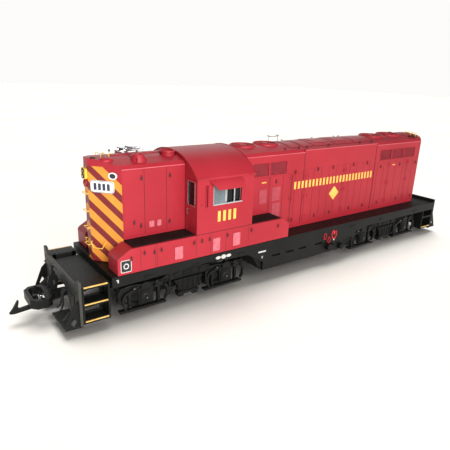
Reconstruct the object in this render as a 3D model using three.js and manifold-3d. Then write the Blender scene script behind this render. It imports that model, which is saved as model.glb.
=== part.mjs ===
// Model diesel locomotive, four-axle road switcher with a short and a long hood.
// Millimetres, +X towards the short hood, +Y the left side, +Z up, wheel flanges standing on Z = 0.
import * as THREE from 'three';
import { mergeVertices } from 'three/addons/utils/BufferGeometryUtils.js';
import Module from 'manifold-3d';

const wasm = await Module();
wasm.setup();

// driving dimensions
const CLEAR = 0.3;
const WALL = 2.0;
const DECK_Z = 50;
const DECK_THICK = 3;
const SILL_Y = 52.6;
const SILL_THICK = 2.6;
const DECK_FRONT_X = 245.9;
const END_X = 273.7;
const PILOT_THICK = 2.6;
const PLATFORM_Z = 43.5;
const BOX_TOP_Z = 74.1;
const HOOD_Y = 30.2;
const CAB_REAR_X = 87.1;
const CAB_FRONT_X = 157;
const CAB_EAVE_Z = 130.7;
const NOSE_X = 245.8;
const TAIL_X = -257;
const JOINT_A_X = -8;
const JOINT_B_X = -144;
const TRUCK_X = 163;
const WHEELBASE = 94.6;
const WHEEL_R = 17.5;
const FLANGE_R = 19.5;
const WHEEL_SIDES = 26;
const AXLE_Z = FLANGE_R * Math.cos(Math.PI / WHEEL_SIDES);
const GEAR_R = 7.2;
const WORM_R = 3;
const SHAFT_Z = AXLE_Z + GEAR_R + WORM_R + 0.3;
const FANS = [[64, 15], [30, 15], [-167, 17], [-206, 17]];
const STACK_AT = [166, 10];
const COUPLER_PIVOT_X = 258;
const HOOK_PIN_X = 301;
const HOOK_PIN_Z = 23;

function solid(geometry) {
  geometry.deleteAttribute('normal');
  geometry.deleteAttribute('uv');
  const merged = mergeVertices(geometry, 1e-4);
  const index = merged.index.array;
  const kept = [];
  for (let i = 0; i < index.length; i += 3) {
    const [a, b, c] = [index[i], index[i + 1], index[i + 2]];
    if (a !== b && b !== c && c !== a) kept.push(a, b, c);
  }
  return new wasm.Manifold(new wasm.Mesh({
    numProp: 3,
    vertProperties: new Float32Array(merged.attributes.position.array),
    triVerts: new Uint32Array(kept),
  }));
}

function box(x0, x1, y0, y1, z0, z1) {
  const geometry = new THREE.BoxGeometry(x1 - x0, y1 - y0, z1 - z0);
  geometry.translate((x0 + x1) / 2, (y0 + y1) / 2, (z0 + z1) / 2);
  return solid(geometry);
}

function extruded(points, depth) {
  const shape = new THREE.Shape(points.map(([a, b]) => new THREE.Vector2(a, b)));
  return new THREE.ExtrudeGeometry(shape, { depth, bevelEnabled: false });
}

// outline in plan (x, y), raised from z0 to z1
function plan(points, z0, z1) {
  const geometry = extruded(points, z1 - z0);
  geometry.translate(0, 0, z0);
  return solid(geometry);
}

// outline seen from the side (x, z), from y0 to y1
function side(points, y0, y1) {
  const geometry = extruded(points, y1 - y0);
  geometry.rotateX(Math.PI / 2);
  geometry.translate(0, y1, 0);
  return solid(geometry);
}

// outline seen from the end (y, z), from x0 to x1
function section(points, x0, x1) {
  const geometry = extruded(points, x1 - x0);
  geometry.rotateX(Math.PI / 2);
  geometry.rotateZ(Math.PI / 2);
  geometry.translate(x0, 0, 0);
  return solid(geometry);
}

// profile of [radius, height] pairs turned round a line along x, y or z through the point at
function turned(profile, axis, at, segments = 24, start = 0) {
  const points = profile.map(([r, h]) => new THREE.Vector2(r, h));
  const geometry = new THREE.LatheGeometry(points, segments, start);
  if (axis === 'x') geometry.rotateZ(-Math.PI / 2);
  if (axis === 'z') geometry.rotateX(Math.PI / 2);
  geometry.translate(at[0], at[1], at[2]);
  return solid(geometry);
}

function rod(radius, h0, h1, axis, at, segments = 16) {
  return turned([[0, h0], [radius, h0], [radius, h1], [0, h1]], axis, at, segments);
}

function joined(shapes) {
  return shapes.reduce((sum, shape) => sum.add(shape));
}

function mirrored(points) {
  return points.concat(points.slice().reverse().map(([a, b]) => [-a, b]));
}

const group = new THREE.Group();
group.name = 'diesel_locomotive';
const looks = {
  black: { color: 0x202423, roughness: 0.55, metalness: 0 },
  red: { color: 0xb8303f, roughness: 0.4, metalness: 0 },
  yellow: { color: 0xf2a53a, roughness: 0.45, metalness: 0 },
  white: { color: 0xe8e8e4, roughness: 0.5, metalness: 0 },
  steel: { color: 0x9b9c9d, roughness: 0.35, metalness: 1 },
  silver: { color: 0xc9ccce, roughness: 0.25, metalness: 1 },
  green: { color: 0x1f5a38, roughness: 0.6, metalness: 0 },
};

function place(name, shape, look, half_turn = false) {
  const data = shape.getMesh();
  const geometry = new THREE.BufferGeometry();
  geometry.setAttribute('position', new THREE.BufferAttribute(new Float32Array(data.vertProperties), 3));
  geometry.setIndex(Array.from(data.triVerts));
  if (half_turn) geometry.rotateZ(Math.PI);
  geometry.computeVertexNormals();
  const mesh = new THREE.Mesh(geometry, new THREE.MeshStandardMaterial(looks[look]));
  mesh.name = name;
  group.add(mesh);
}

// main frame: deck, side sills with their deep middle skirts, front platform, coupler pins
function mainFrame() {
  const skirt = [
    [DECK_FRONT_X, DECK_Z], [DECK_FRONT_X, 39.5], [240, 39.5], [180, 41.5], [134, 42.5], [112, 40.7],
    [90, 39.5], [67.7, 26.2], [68, 16.4], [-68, 16.4], [-82, 25.8], [-88.5, 26.4], [-92.5, 35],
    [-121, 38.8], [-END_X, 39.5], [-END_X, DECK_Z],
  ];
  let frame = box(0.5 - END_X, DECK_FRONT_X - 1, 1 - SILL_Y, SILL_Y - 1, DECK_Z - DECK_THICK, DECK_Z);
  for (const y of [SILL_Y, SILL_THICK - SILL_Y]) {
    frame = frame.add(side(skirt, y - SILL_THICK, y));
  }
  for (const x of [48.5, 26.5, 6, -21.8]) {
    frame = frame.subtract(box(x - 6, x + 6, -60, 60, 30, 32.2));
  }
  frame = frame.add(box(DECK_FRONT_X - 3, DECK_FRONT_X, -SILL_Y, SILL_Y, 39.5, DECK_Z));
  frame = frame.add(box(DECK_FRONT_X - 1, END_X, -32, 32, PLATFORM_Z - DECK_THICK, PLATFORM_Z));
  frame = frame.add(rod(2.2, 16, PLATFORM_Z - 1, 'z', [COUPLER_PIVOT_X, 0, 0], 12));
  frame = frame.add(rod(2.2, 16, DECK_Z - 1, 'z', [-COUPLER_PIVOT_X, 0, 0], 12));
  for (const x of [-TRUCK_X, TRUCK_X]) {
    frame = frame.subtract(rod(9.6, 40, 60, 'z', [x, 0, 0]));
  }
  for (const x of [-46, 32]) {
    frame = frame.add(box(x - 3, x + 3, -16, 16, DECK_Z - 1, 57.7));
  }
  return frame;
}

place('main_frame', mainFrame(), 'black');

// fuel tank tub under the middle of the deck, a speaker on its floor
const TANK_Y = SILL_Y - SILL_THICK - CLEAR;
const tankOuter = [[70, 17], [84, 38], [84, 46.7], [-84, 46.7], [-84, 38], [-70, 17]];
const tankInner = [[68.8, 19], [82, 38.6], [82, 48], [-82, 48], [-82, 38.6], [-68.8, 19]];
const tank = side(tankOuter, -TANK_Y, TANK_Y).subtract(side(tankInner, 1.8 - TANK_Y, TANK_Y - 1.8));
place('fuel_tank', tank, 'black');
const speaker = [[0, 0], [19, 0], [24, 7], [25, 7], [25, 9.5], [22, 9.5], [14, 5.5], [9, 5.5], [0, 7.5]];
place('speaker', turned(speaker, 'z', [0, 0, 19.3], 28), 'black');

// pilots: end plates with the coupler opening and two footboards; the front one is cut down between
// two upstanding ears, the rear one stands above the deck over its whole width
function pilot(top) {
  const edge = [[14, 34], [20, 26], [30, 7.5], [50, 7.5], [52.4, 10]].concat(top);
  let plate = section(mirrored(edge), END_X + CLEAR, END_X + CLEAR + PILOT_THICK);
  const board = [[END_X + 1, 8], [290.5, 8], [290.5, 10.4], [END_X + 1, 10.4]];
  const bracket = [[END_X + 1, 10], [288, 10], [END_X + 1, 22]];
  for (const s of [-1, 1]) {
    plate = plate.add(side(board, Math.min(s * 14, s * 50), Math.max(s * 14, s * 50)));
    plate = plate.add(side(bracket, s * 33 - 1, s * 33 + 1));
    plate = plate.add(side(bracket, s * 48 - 1, s * 48 + 1));
  }
  return plate;
}

place('pilot_front', pilot([[52.4, 52.6], [47, 52.6], [40, 46.5]]), 'black');
place('pilot_rear', pilot([[52.4, 54]]), 'black', true);

// step wells: two cheeks, a back plate and treads, standing beside the platform
function steps(top, treads) {
  const [x0, x1] = [248.5, END_X];
  let well = box(x0, x0 + 1.6, 36, 52.3, 11, top);
  well = well.add(box(x1 - 1.6, x1, 36, 52.3, 11, top));
  well = well.add(box(x0, x1, 36, 37.4, 19, top));
  treads.forEach((z) => {
    well = well.add(box(x0, x1, 36, 52.3, z - 1.4, z));
  });
  return well;
}

const mirrorY = (shape) => shape.mirror([0, 1, 0]);
place('steps_front_left', steps(46.8, [13.7, 30.3, 46.8]), 'black');
place('steps_front_right', mirrorY(steps(46.8, [13.7, 30.3, 46.8])), 'black');
place('steps_rear_left', mirrorY(steps(39.1, [13.7, 30.3])), 'black', true);
place('steps_rear_right', steps(39.1, [13.7, 30.3]), 'black', true);

// hoods: thin shells, crowned on top, bevelled round their free ends; the middle one has square shoulders
function hoodSection(inset, square) {
  const y = HOOD_Y - inset;
  const shoulder = square ? [[y, 144 - inset]] : [[y, 141.5 - inset], [y - 3.2, 145 - inset]];
  return mirrored([[y, 20], ...shoulder, [y - 16, 149 - inset], [3, 150.2 - inset]]);
}

function hood(x0, x1, square, cut) {
  const z0 = DECK_Z + CLEAR;
  const far = 400;
  const outer = section(hoodSection(0, square), x0, x1).intersect(box(-far, far, -60, 60, z0, far));
  const inner = section(hoodSection(WALL, square), x0 - 10, x1 + 10);
  return cut(outer, inner);
}

function bevelled(xEnd, xCorner, yEnd, x0, inset) {
  const y = HOOD_Y - inset;
  const s = Math.sign(xEnd);
  const [e, c] = [xEnd - s * inset, xCorner - s * inset * 0.4];
  return plan([[x0, -y], [c, -y], [e, -yEnd], [e, yEnd], [c, y], [x0, y]], 0, 200);
}

const shortHood = hood(CAB_FRONT_X + CLEAR, NOSE_X, false, (outer, inner) => {
  const shell = outer.intersect(bevelled(NOSE_X, 223.9, 5, 100, 0));
  return shell.subtract(inner.intersect(bevelled(NOSE_X, 223.9, 5, 100, WALL)));
});
const stackHole = rod(8 + CLEAR, 140, 160, 'z', [...STACK_AT, 0], 24);
place('short_hood', shortHood.subtract(stackHole), 'red');

const frontCuts = joined([
  box(21, 45, -40, 40, 119.5, 133.5), box(48, 71, -40, 40, 119.5, 133.5),
  ...FANS.slice(0, 2).map(([x, r]) => rod(r + CLEAR, 140, 160, 'z', [x, 0, 0], 30)),
]);
const hoodFront = hood(JOINT_A_X + CLEAR, CAB_REAR_X - CLEAR, false, (outer, inner) => outer.subtract(inner));
place('long_hood_front', hoodFront.subtract(frontCuts), 'red');
const hoodMid = hood(JOINT_B_X + CLEAR, JOINT_A_X, true, (outer, inner) => outer.subtract(inner));
place('long_hood_middle', hoodMid, 'red');
const hoodRear = hood(TAIL_X, JOINT_B_X, false, (outer, inner) => {
  const shell = outer.intersect(bevelled(TAIL_X, -247.7, 21, 0, 0));
  return shell.subtract(inner.intersect(bevelled(TAIL_X, -247.7, 21, 0, WALL)));
});
const rearCuts = joined([
  box(-178, -154, -40, 40, 120.5, 134), box(-206, -181, -40, 40, 120.5, 134),
  box(-234, -209, -40, 40, 120.5, 134),
  ...FANS.slice(2).map(([x, r]) => rod(r + CLEAR, 140, 160, 'z', [x, 0, 0], 30)),
]);
place('long_hood_rear', hoodRear.subtract(rearCuts), 'red');

// cab: side walls to the eave, end walls up under the arched roof, window and door openings
const arch = [[52.9, CAB_EAVE_Z], [49, 134.6], [44.5, 138.6], [39, 142.6], [33, 146], [26, 148.9],
  [18, 151], [10, 152.1], [0, 152.5]];
const underArch = arch.map(([y, z]) => [y * 0.975, z - 1.7]);
const bothSides = (edge) => edge.concat(edge.slice(0, -1).reverse().map(([y, z]) => [-y, z]));
const WIN_X = [103, 138];
const WIN_Z = [103, 124];
const DOOR_Y = [33.5, 49.5];
const DOOR_Z = [76.5, 128.4];

const cabWalls = [[SILL_Y, BOX_TOP_Z + CLEAR], [SILL_Y, CAB_EAVE_Z - 1.5]]
  .concat(underArch.slice(1).map(([y, z]) => [y, z - CLEAR]));
let cab = section(bothSides(cabWalls), CAB_REAR_X, CAB_FRONT_X);
cab = cab.subtract(box(CAB_REAR_X + WALL, CAB_FRONT_X - WALL, WALL - SILL_Y, SILL_Y - WALL, 60, 170));
cab = cab.subtract(box(WIN_X[0], WIN_X[1], -60, 60, WIN_Z[0], WIN_Z[1]));
cab = cab.subtract(box(145.1, 146.3, -60, 60, 101.6, 123.2));
for (const x of [CAB_FRONT_X - 3, CAB_REAR_X - 1]) {
  for (const s of [-1, 1]) {
    const doorway = (s > 0) === (x > 120);
    const [y0, y1] = [s > 0 ? DOOR_Y[0] : -DOOR_Y[1], s > 0 ? DOOR_Y[1] : -DOOR_Y[0]];
    cab = cab.subtract(box(x, x + 4, y0, y1, doorway ? DOOR_Z[0] : 100, DOOR_Z[1]));
  }
}
place('cab_shell', cab, 'red');

const roofOuter = section(bothSides([[53.4, 128.9]].concat(arch)), 86.2, 157.9);
const roofInner = section(bothSides([[SILL_Y + CLEAR, 120], [SILL_Y + CLEAR, CAB_EAVE_Z - 1.2]]
  .concat(underArch.slice(1))), 80, 160);
place('cab_roof', roofOuter.subtract(roofInner), 'red');

// cab doors, each a leaf with its window opening
function door() {
  const leaf = box(155.3, 156.7, DOOR_Y[0] + 0.4, DOOR_Y[1] - 0.4, DOOR_Z[0] + 0.4, DOOR_Z[1] - 0.4);
  return leaf.subtract(box(150, 160, 35.2, 47.8, 102.5, 126.6));
}
place('cab_door_front', door(), 'red');
const doorShift = CAB_FRONT_X + CAB_REAR_X;
place('cab_door_rear', door().translate([-doorShift, 0, 0]), 'red', true);

// sliding window sashes inside the cab walls and awnings outside above them
for (const s of [-1, 1]) {
  const [y0, y1] = s > 0 ? [49.2, 50.2] : [-50.2, -49.2];
  const sash = box(101.5, 121.3, y0, y1, 101.5, 125.5);
  const sideName = s > 0 ? 'left' : 'right';
  place(`window_sash_${sideName}`, sash.subtract(box(104, 118.8, -60, 60, 104, 123)), 'silver');
  const blade = [[SILL_Y + CLEAR, 128.4], [SILL_Y + 1.6, 128.4], [59.6, 119.6], [58.8, 118.6],
    [SILL_Y + CLEAR, 126.4]];
  const trimmed = plan([[103, 50], [143, 50], [143, 54], [136, 60], [103, 60]], 110, 135);
  const awning = section(blade, 100, 146).intersect(trimmed);
  place(`awning_${sideName}`, s > 0 ? awning : mirrorY(awning), 'red');
}

// side boxes carrying the raised walkway past the cab, with black tread plates on top
function sideBox() {
  const outer = [[31.7, DECK_Z + CLEAR], [31.7, 66.5], [33.7, 68.3], [42, BOX_TOP_Z], [227, BOX_TOP_Z],
    [238.8, 67.1], [240.3, 65], [240.3, DECK_Z + CLEAR]];
  const inner = [[33.7, 40], [33.7, 66], [42.7, 72.1], [226.5, 72.1], [237.6, 65.8], [238.3, 64.6],
    [238.3, 40]];
  const shell = side(outer, HOOD_Y + CLEAR, SILL_Y);
  return shell.subtract(side(inner, HOOD_Y - 5, SILL_Y - WALL));
}
place('side_box_left', sideBox(), 'red');
place('side_box_right', mirrorY(sideBox()), 'red');
for (const [name, x0, x1] of [['front', 158.2, 224.5], ['rear', 44.5, 85.9]]) {
  const tread = box(x0, x1, HOOD_Y + 0.5, 51, BOX_TOP_Z + CLEAR, BOX_TOP_Z + 1.2);
  place(`tread_${name}_left`, tread, 'black');
  place(`tread_${name}_right`, mirrorY(tread), 'black');
}

// roof fittings: four fan housings, an exhaust stack and a chrome horn
function fan([x, radius]) {
  const profile = [[0, 146.5], [radius, 146.5], [radius, 152], [radius - 1.6, 153.4], [radius - 2.6, 152.4],
    [4, 152.4], [3, 153], [0, 153]];
  return turned(profile, 'z', [x, 0, 0], 30);
}
FANS.forEach((spec, i) => place(`roof_fan_${i + 1}`, fan(spec), 'red'));
const stack = [[0, 145.5], [7.2, 145.5], [7.2, 151.6], [7.8, 152], [7.8, 153.2], [6.2, 153.6],
  [5.6, 152.4], [0, 152.4]];
place('exhaust_stack', turned(stack, 'z', [...STACK_AT, 0], 24), 'red');
const HORN_Y = -9;
const HORN_Z = 153;
let horn = rod(1.1, 149.95, HORN_Z, 'z', [190, HORN_Y, 0], 10);
horn = horn.add(rod(1.1, 149.95, HORN_Z, 'z', [201, HORN_Y, 0], 10));
horn = horn.add(box(184, 206, HORN_Y - 0.8, HORN_Y + 0.8, HORN_Z - 0.8, HORN_Z + 0.8));
horn = horn.add(box(189, 190.6, HORN_Y - 4, HORN_Y + 4, HORN_Z - 0.8, HORN_Z + 0.8));
for (const [y, x0, x1] of [[-4, 184, 208.4], [0, 187, 202], [4, 185, 205]]) {
  const bell = [[0, x0], [1.1, x0], [1.1, x1 - 5], [2.6, x1], [0, x1]];
  horn = horn.add(turned(bell, 'x', [0, HORN_Y + y, HORN_Z + (y ? 0 : 1.6)], 12));
}
place('horn', horn, 'silver');

// headlights at both ends and number boards on the nose bevels
const lampFace = [[-5.4, 130.5], [5.4, 130.5], [5.4, 140.5], [-5.4, 140.5]];
place('headlight_front', section(lampFace, NOSE_X + CLEAR, NOSE_X + 3.6), 'yellow');
place('headlight_rear', section(lampFace, -TAIL_X + CLEAR, 3.6 - TAIL_X), 'yellow', true);
function numberBoard() {
  const r = 3;
  const [w, h] = [14, 6.2];
  const outline = [[r - w, -h], [w - r, -h], [w, r - h], [w, h - r], [w - r, h], [r - w, h], [-w, h - r],
    [-w, r - h]];
  const geometry = extruded(outline, 1.8);
  geometry.rotateX(Math.PI / 2);
  geometry.rotateZ(Math.PI - Math.atan2(25.2, 21.9));
  geometry.translate(234.85 + CLEAR * 0.7548, 17.6 + CLEAR * 0.656, 126.5);
  return solid(geometry);
}
const boardShape = numberBoard();
place('number_board_left', boardShape, 'white');
place('number_board_right', mirrorY(boardShape), 'white');

// inside the long hood: circuit board on two ribs and a ballast block on the deck
place('circuit_board', box(-52, 38, -20, 20, 58, 59.6), 'green');
place('ballast_weight', box(-135, -70, -24, 24, DECK_Z + CLEAR, 72), 'steel');

// trucks: open casing, lid with pivot post, two side frames, motor, worm shaft, two wheelsets
function sideFrame(cx) {
  const at = (points) => points.map(([x, z]) => [cx + x, z]);
  let frame = side(at([[-72, 24], [-70, 34], [-30, 34], [-23, 38], [23, 38], [30, 34], [74, 34], [77, 28],
    [76, 20], [72, 20], [71, 25], [30, 26], [22, 29], [-22, 29], [-30, 26], [-68, 26], [-69, 24]]), 41, 46);
  for (const x of [-WHEELBASE / 2, WHEELBASE / 2]) {
    frame = frame.add(box(cx + x - 8.5, cx + x + 8.5, 38.5, 46.5, 12, 30));
    frame = frame.add(rod(6, 46, 48.6, 'y', [cx + x, 0, AXLE_Z], 14));
    frame = frame.add(box(cx + x - 21, cx + x + 28, 41.5, 48.8, 8.8, 11.2));
    frame = frame.add(box(cx + x + 14, cx + x + 18, 42, 46, 10, 30));
    frame = frame.add(box(cx + x - 17, cx + x - 13, 42, 46, 10, 30));
    frame = frame.subtract(rod(3, 30, 43.6, 'y', [cx + x, 0, AXLE_Z], 14));
  }
  frame = frame.add(side(at([[-17, 24], [17, 24], [12, 13], [-12, 13]]), 40, 48));
  frame = frame.add(side(at([[-11, 9], [11, 9], [11, 36], [-11, 36]]), 40.5, 45.5));
  return frame.add(box(cx - 9, cx + 9, 17.3, 42, 24, 33));
}

function wheelset(x) {
  const r = 2.6;
  const half = [[GEAR_R, 2.5], [r, 2.5], [r, 20.4], [FLANGE_R, 20.4], [FLANGE_R, 21.6], [WHEEL_R, 23],
    [WHEEL_R, 28.2], [WHEEL_R - 2.2, 28.2], [WHEEL_R - 3.4, 26], [5, 26], [5, 29],
    [r, 29], [r, 43.2], [0, 43.2]];
  const lower = half.slice().reverse().map(([radius, h]) => [radius, -h]);
  return turned(lower.concat(half), 'y', [x, 0, AXLE_Z], WHEEL_SIDES, Math.PI / WHEEL_SIDES);
}

function truck(name, cx) {
  let casing = box(cx - 58, cx + 58, -17, 17, 6, 41);
  casing = casing.subtract(box(cx - 55.5, cx + 55.5, -14.5, 14.5, 8.5, 45));
  for (const x of [-WHEELBASE / 2, WHEELBASE / 2]) {
    casing = casing.subtract(rod(3.1, -20, 20, 'y', [cx + x, 0, AXLE_Z], 14));
  }
  for (const x of [-25, 22]) {
    const cradle = box(cx + x, cx + x + 3, -15, 15, 8, 31);
    casing = casing.add(cradle.subtract(rod(2.2, -30, 30, 'x', [cx + x, 0, SHAFT_Z], 14)));
    casing = casing.subtract(box(cx + x - 1, cx + x + 4, -2.2, 2.2, SHAFT_Z, 45));
  }
  place(`${name}_casing`, casing, 'black');
  const lid = box(cx - 58, cx + 58, -17, 17, 41.3, 43).add(rod(9, 42, 54, 'z', [cx, 0, 0]));
  place(`${name}_lid`, lid.add(rod(12, 42, 46.4, 'z', [cx, 0, 0])), 'black');
  place(`${name}_frame_left`, sideFrame(cx), 'black');
  place(`${name}_frame_right`, sideFrame(-cx), 'black', true);
  const motor = rod(9.4, -20, 20, 'x', [cx, 0, SHAFT_Z], 24);
  place(`${name}_motor`, motor.subtract(rod(2.2, -30, 30, 'x', [cx, 0, SHAFT_Z], 12)), 'steel');
  const thin = 1.6;
  const worm = [[0, -53], [thin, -53], [thin, -52], [WORM_R, -52], [WORM_R, -42], [thin, -42], [thin, 42],
    [WORM_R, 42], [WORM_R, 52], [thin, 52], [thin, 53], [0, 53]];
  place(`${name}_worm_shaft`, turned(worm, 'x', [cx, 0, SHAFT_Z], 14), 'steel');
  place(`${name}_wheelset_outer`, wheelset(cx + Math.sign(cx) * WHEELBASE / 2), 'steel');
  place(`${name}_wheelset_inner`, wheelset(cx - Math.sign(cx) * WHEELBASE / 2), 'steel');
}
truck('truck_front', TRUCK_X);
truck('truck_rear', -TRUCK_X);

// couplers: a pivoting shank with its loop, and a sprung hook on a cross pin through the loop
function coupler() {
  let shape = rod(6, 19, 25, 'z', [COUPLER_PIVOT_X, 0, 0], 16);
  shape = shape.add(plan([[258, -4], [284, -5], [291, -12], [291, 12], [284, 5], [258, 4]], 19.5, 25));
  const ring = [[289, -14], [293, -17.5], [303, -17.5], [308, -12], [308, 12], [303, 17.5], [293, 17.5],
    [289, 14]];
  const hole = [[293, -10], [296, -13.6], [301.5, -13.6], [304.6, -10], [304.6, 10], [301.5, 13.6],
    [296, 13.6], [293, 10]];
  shape = shape.add(plan(ring, 18.5, 27)).subtract(plan(hole, 10, 40));
  shape = shape.subtract(rod(2.6, 10, 40, 'z', [COUPLER_PIVOT_X, 0, 0], 14));
  return shape.add(rod(1.3, -15, 15, 'y', [HOOK_PIN_X, 0, HOOK_PIN_Z], 12));
}

function hook() {
  const outline = [[298.6, 13.4], [320, 11.6], [324.4, 12.4], [321, 16.5], [316.4, 24], [315.4, 23.6],
    [316.8, 17.8], [315.4, 15.4], [303.4, 17], [303.4, 25.6], [298.6, 25.6]];
  return side(outline, -2, 2).subtract(rod(1.65, -5, 5, 'y', [HOOK_PIN_X, 0, HOOK_PIN_Z], 12));
}

place('coupler_front', coupler(), 'black');
place('coupler_hook_front', hook(), 'black');
place('coupler_rear', coupler(), 'black', true);
place('coupler_hook_rear', hook(), 'black', true);

export default group;
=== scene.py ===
import math

import bmesh
import bpy
from mathutils import Matrix, Vector


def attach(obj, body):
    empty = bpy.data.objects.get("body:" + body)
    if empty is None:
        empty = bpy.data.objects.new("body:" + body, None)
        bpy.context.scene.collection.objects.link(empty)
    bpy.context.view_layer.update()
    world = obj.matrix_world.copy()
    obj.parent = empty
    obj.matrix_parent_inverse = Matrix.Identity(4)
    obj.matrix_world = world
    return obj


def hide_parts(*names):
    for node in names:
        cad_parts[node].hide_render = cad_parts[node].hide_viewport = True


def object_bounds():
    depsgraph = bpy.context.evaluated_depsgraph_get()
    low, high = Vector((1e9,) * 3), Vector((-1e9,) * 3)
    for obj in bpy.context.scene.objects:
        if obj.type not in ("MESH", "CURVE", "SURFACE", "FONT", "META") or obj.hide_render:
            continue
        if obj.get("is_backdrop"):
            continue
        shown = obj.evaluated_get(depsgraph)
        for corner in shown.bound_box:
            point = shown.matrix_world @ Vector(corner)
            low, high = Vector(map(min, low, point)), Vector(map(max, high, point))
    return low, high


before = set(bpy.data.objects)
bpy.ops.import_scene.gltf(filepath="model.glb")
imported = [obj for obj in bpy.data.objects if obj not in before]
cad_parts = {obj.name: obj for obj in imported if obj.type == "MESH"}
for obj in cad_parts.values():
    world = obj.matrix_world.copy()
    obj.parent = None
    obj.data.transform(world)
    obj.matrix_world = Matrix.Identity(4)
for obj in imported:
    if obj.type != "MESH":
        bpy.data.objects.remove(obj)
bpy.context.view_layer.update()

# Studio floor: a sheet of matt white paper that the engine stands on, lit from above and in front.
# Paper has a soft, slightly warm white with a very fine tooth.
MM = 0.001
scene = bpy.context.scene


def tone(code):
    """Turns a hex sRGB colour into the linear colour a shader wants."""
    parts = [int(code[i:i + 2], 16) / 255 for i in (1, 3, 5)]
    return (*[p / 12.92 if p <= 0.04045 else ((p + 0.055) / 1.055) ** 2.4 for p in parts], 1)


def put(tree, kind, links=None, **settings):
    """Adds one shader node, with its settings, its socket values and its links."""
    made = tree.nodes.new("ShaderNode" + kind)
    for name, value in settings.items():
        setattr(made, name, value)
    for socket, value in (links or {}).items():
        if isinstance(value, bpy.types.NodeSocket):
            tree.links.new(value, made.inputs[socket])
        else:
            made.inputs[socket].default_value = value
    return made


def surface(name, dark, light, cloud, grain, relief, rough, sockets=None):
    """A finish in two tones clouded over `cloud` mm, with a grain of `grain` mm, `relief` mm deep."""
    made = bpy.data.materials.new(name)
    made.use_nodes = True
    tree = made.node_tree
    shader = tree.nodes["Principled BSDF"]
    spot = put(tree, "TexCoord").outputs["Object"]
    clouds = put(tree, "TexNoise", {"Vector": spot, "Scale": 1 / (cloud * MM), "Detail": 4.0})
    grains = put(tree, "TexNoise", {"Vector": spot, "Scale": 1 / (grain * MM), "Detail": 2.0})
    shade = put(tree, "MapRange", {"Value": clouds.outputs["Fac"], "From Min": 0.3, "From Max": 0.7})
    mixed = put(tree, "Mix", {0: shade.outputs["Result"], 6: tone(dark), 7: tone(light)}, data_type="RGBA")
    gloss = put(tree, "MapRange", {"Value": grains.outputs["Fac"], "From Min": 0.3, "From Max": 0.7,
                                   "To Min": rough[0], "To Max": rough[1]})
    bump = put(tree, "Bump", {"Height": grains.outputs["Fac"], "Distance": relief * MM, "Strength": 1.0})
    tree.links.new(mixed.outputs[2], shader.inputs["Base Color"])
    tree.links.new(gloss.outputs["Result"], shader.inputs["Roughness"])
    tree.links.new(bump.outputs["Normal"], shader.inputs["Normal"])
    for socket, value in (sockets or {}).items():
        shader.inputs[socket].default_value = value
    return made


matt_paper = surface("matt_paper", "#EFEAE2", "#F6F2EC", 240, 0.9, 0.02, (0.75, 0.85))
PAPER_HALF = 6000


def round_edges(part, edge, turn):
    """Rounds a piece by `edge` mm along each edge where it turns by more than `turn` degrees."""
    rounding = part.modifiers.new("rounded_edges", "BEVEL")
    rounding.width = edge * MM
    rounding.segments = 2
    rounding.limit_method = "ANGLE"
    rounding.angle_limit = math.radians(turn)
    return rounding


def finished(name, mesh, material, edge=0.0, turn=35):
    """Makes a scene object from a mesh drawn in millimetres, its edges rounded by `edge` mm."""
    bmesh.ops.recalc_face_normals(mesh, faces=mesh.faces)
    bmesh.ops.scale(mesh, vec=(MM, MM, MM), verts=mesh.verts)
    data = bpy.data.meshes.new(name)
    mesh.to_mesh(data)
    mesh.free()
    data.materials.append(material)
    data.polygons.foreach_set("use_smooth", [True] * len(data.polygons))
    data.set_sharp_from_angle(angle=math.radians(turn))
    made = bpy.data.objects.new(name, data)
    scene.collection.objects.link(made)
    if edge:
        round_edges(made, edge, turn).harden_normals = True
    return made


paper_mesh = bmesh.new()
bmesh.ops.create_grid(paper_mesh, x_segments=4, y_segments=4, size=PAPER_HALF)
paper = finished("paper_floor", paper_mesh, matt_paper)
paper.location.z = -0.0002
paper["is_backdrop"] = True

# Camera and lights: a close view from the left front, a broad window of light on that side, a softer
# fill from the far wall, and a pale room all round. One lamp lights the paper alone, so that the
# floor stays pale without washing out the paint.
CAMERA_AT = (386.5, 409.6, 228.4)
YAW, PITCH, ROLL = math.radians(36.44), math.radians(-18.53), math.radians(2.13)
ahead = Vector((-math.sin(YAW) * math.cos(PITCH), -math.cos(YAW) * math.cos(PITCH), math.sin(PITCH)))
right = ahead.cross(Vector((0, 0, 1))).normalized()
above = right.cross(ahead)
right, above = (right * math.cos(ROLL) + above * math.sin(ROLL),
                above * math.cos(ROLL) - right * math.sin(ROLL))
turn_to_view = Matrix((right, above, -ahead)).transposed().to_4x4()
lens = bpy.data.cameras.new("camera")
lens.sensor_width, lens.lens = 36.0, 36.54
lens.clip_start, lens.clip_end = 0.01, 50.0
camera = bpy.data.objects.new("camera", lens)
camera.matrix_world = Matrix.Translation(Vector(CAMERA_AT) * MM) @ turn_to_view
scene.collection.objects.link(camera)
scene.camera = camera

scene.view_settings.view_transform = "Standard"
room = bpy.data.worlds.new("pale_room")
room.use_nodes = True
sky = room.node_tree
seen = put(sky, "LightPath").outputs["Is Camera Ray"]
strength = put(sky, "MapRange", {"Value": seen, "To Min": 0.25, "To Max": 0.98})
sky.nodes["Background"].inputs["Color"].default_value = tone("#FFFEFC")
sky.links.new(strength.outputs["Result"], sky.nodes["Background"].inputs["Strength"])
scene.world = room


def lit(name, kind, energy, at, **settings):
    """A lamp at a place in millimetres, aimed at the middle of the engine."""
    glow = bpy.data.lights.new(name, kind)
    glow.energy = energy
    for key, value in settings.items():
        setattr(glow, key, value)
    lamp = bpy.data.objects.new(name, glow)
    lamp.location = Vector(at) * MM
    lamp.rotation_euler = (Vector((60, 0, 60)) * MM - lamp.location).to_track_quat("-Z", "Y").to_euler()
    scene.collection.objects.link(lamp)
    return lamp


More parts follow.
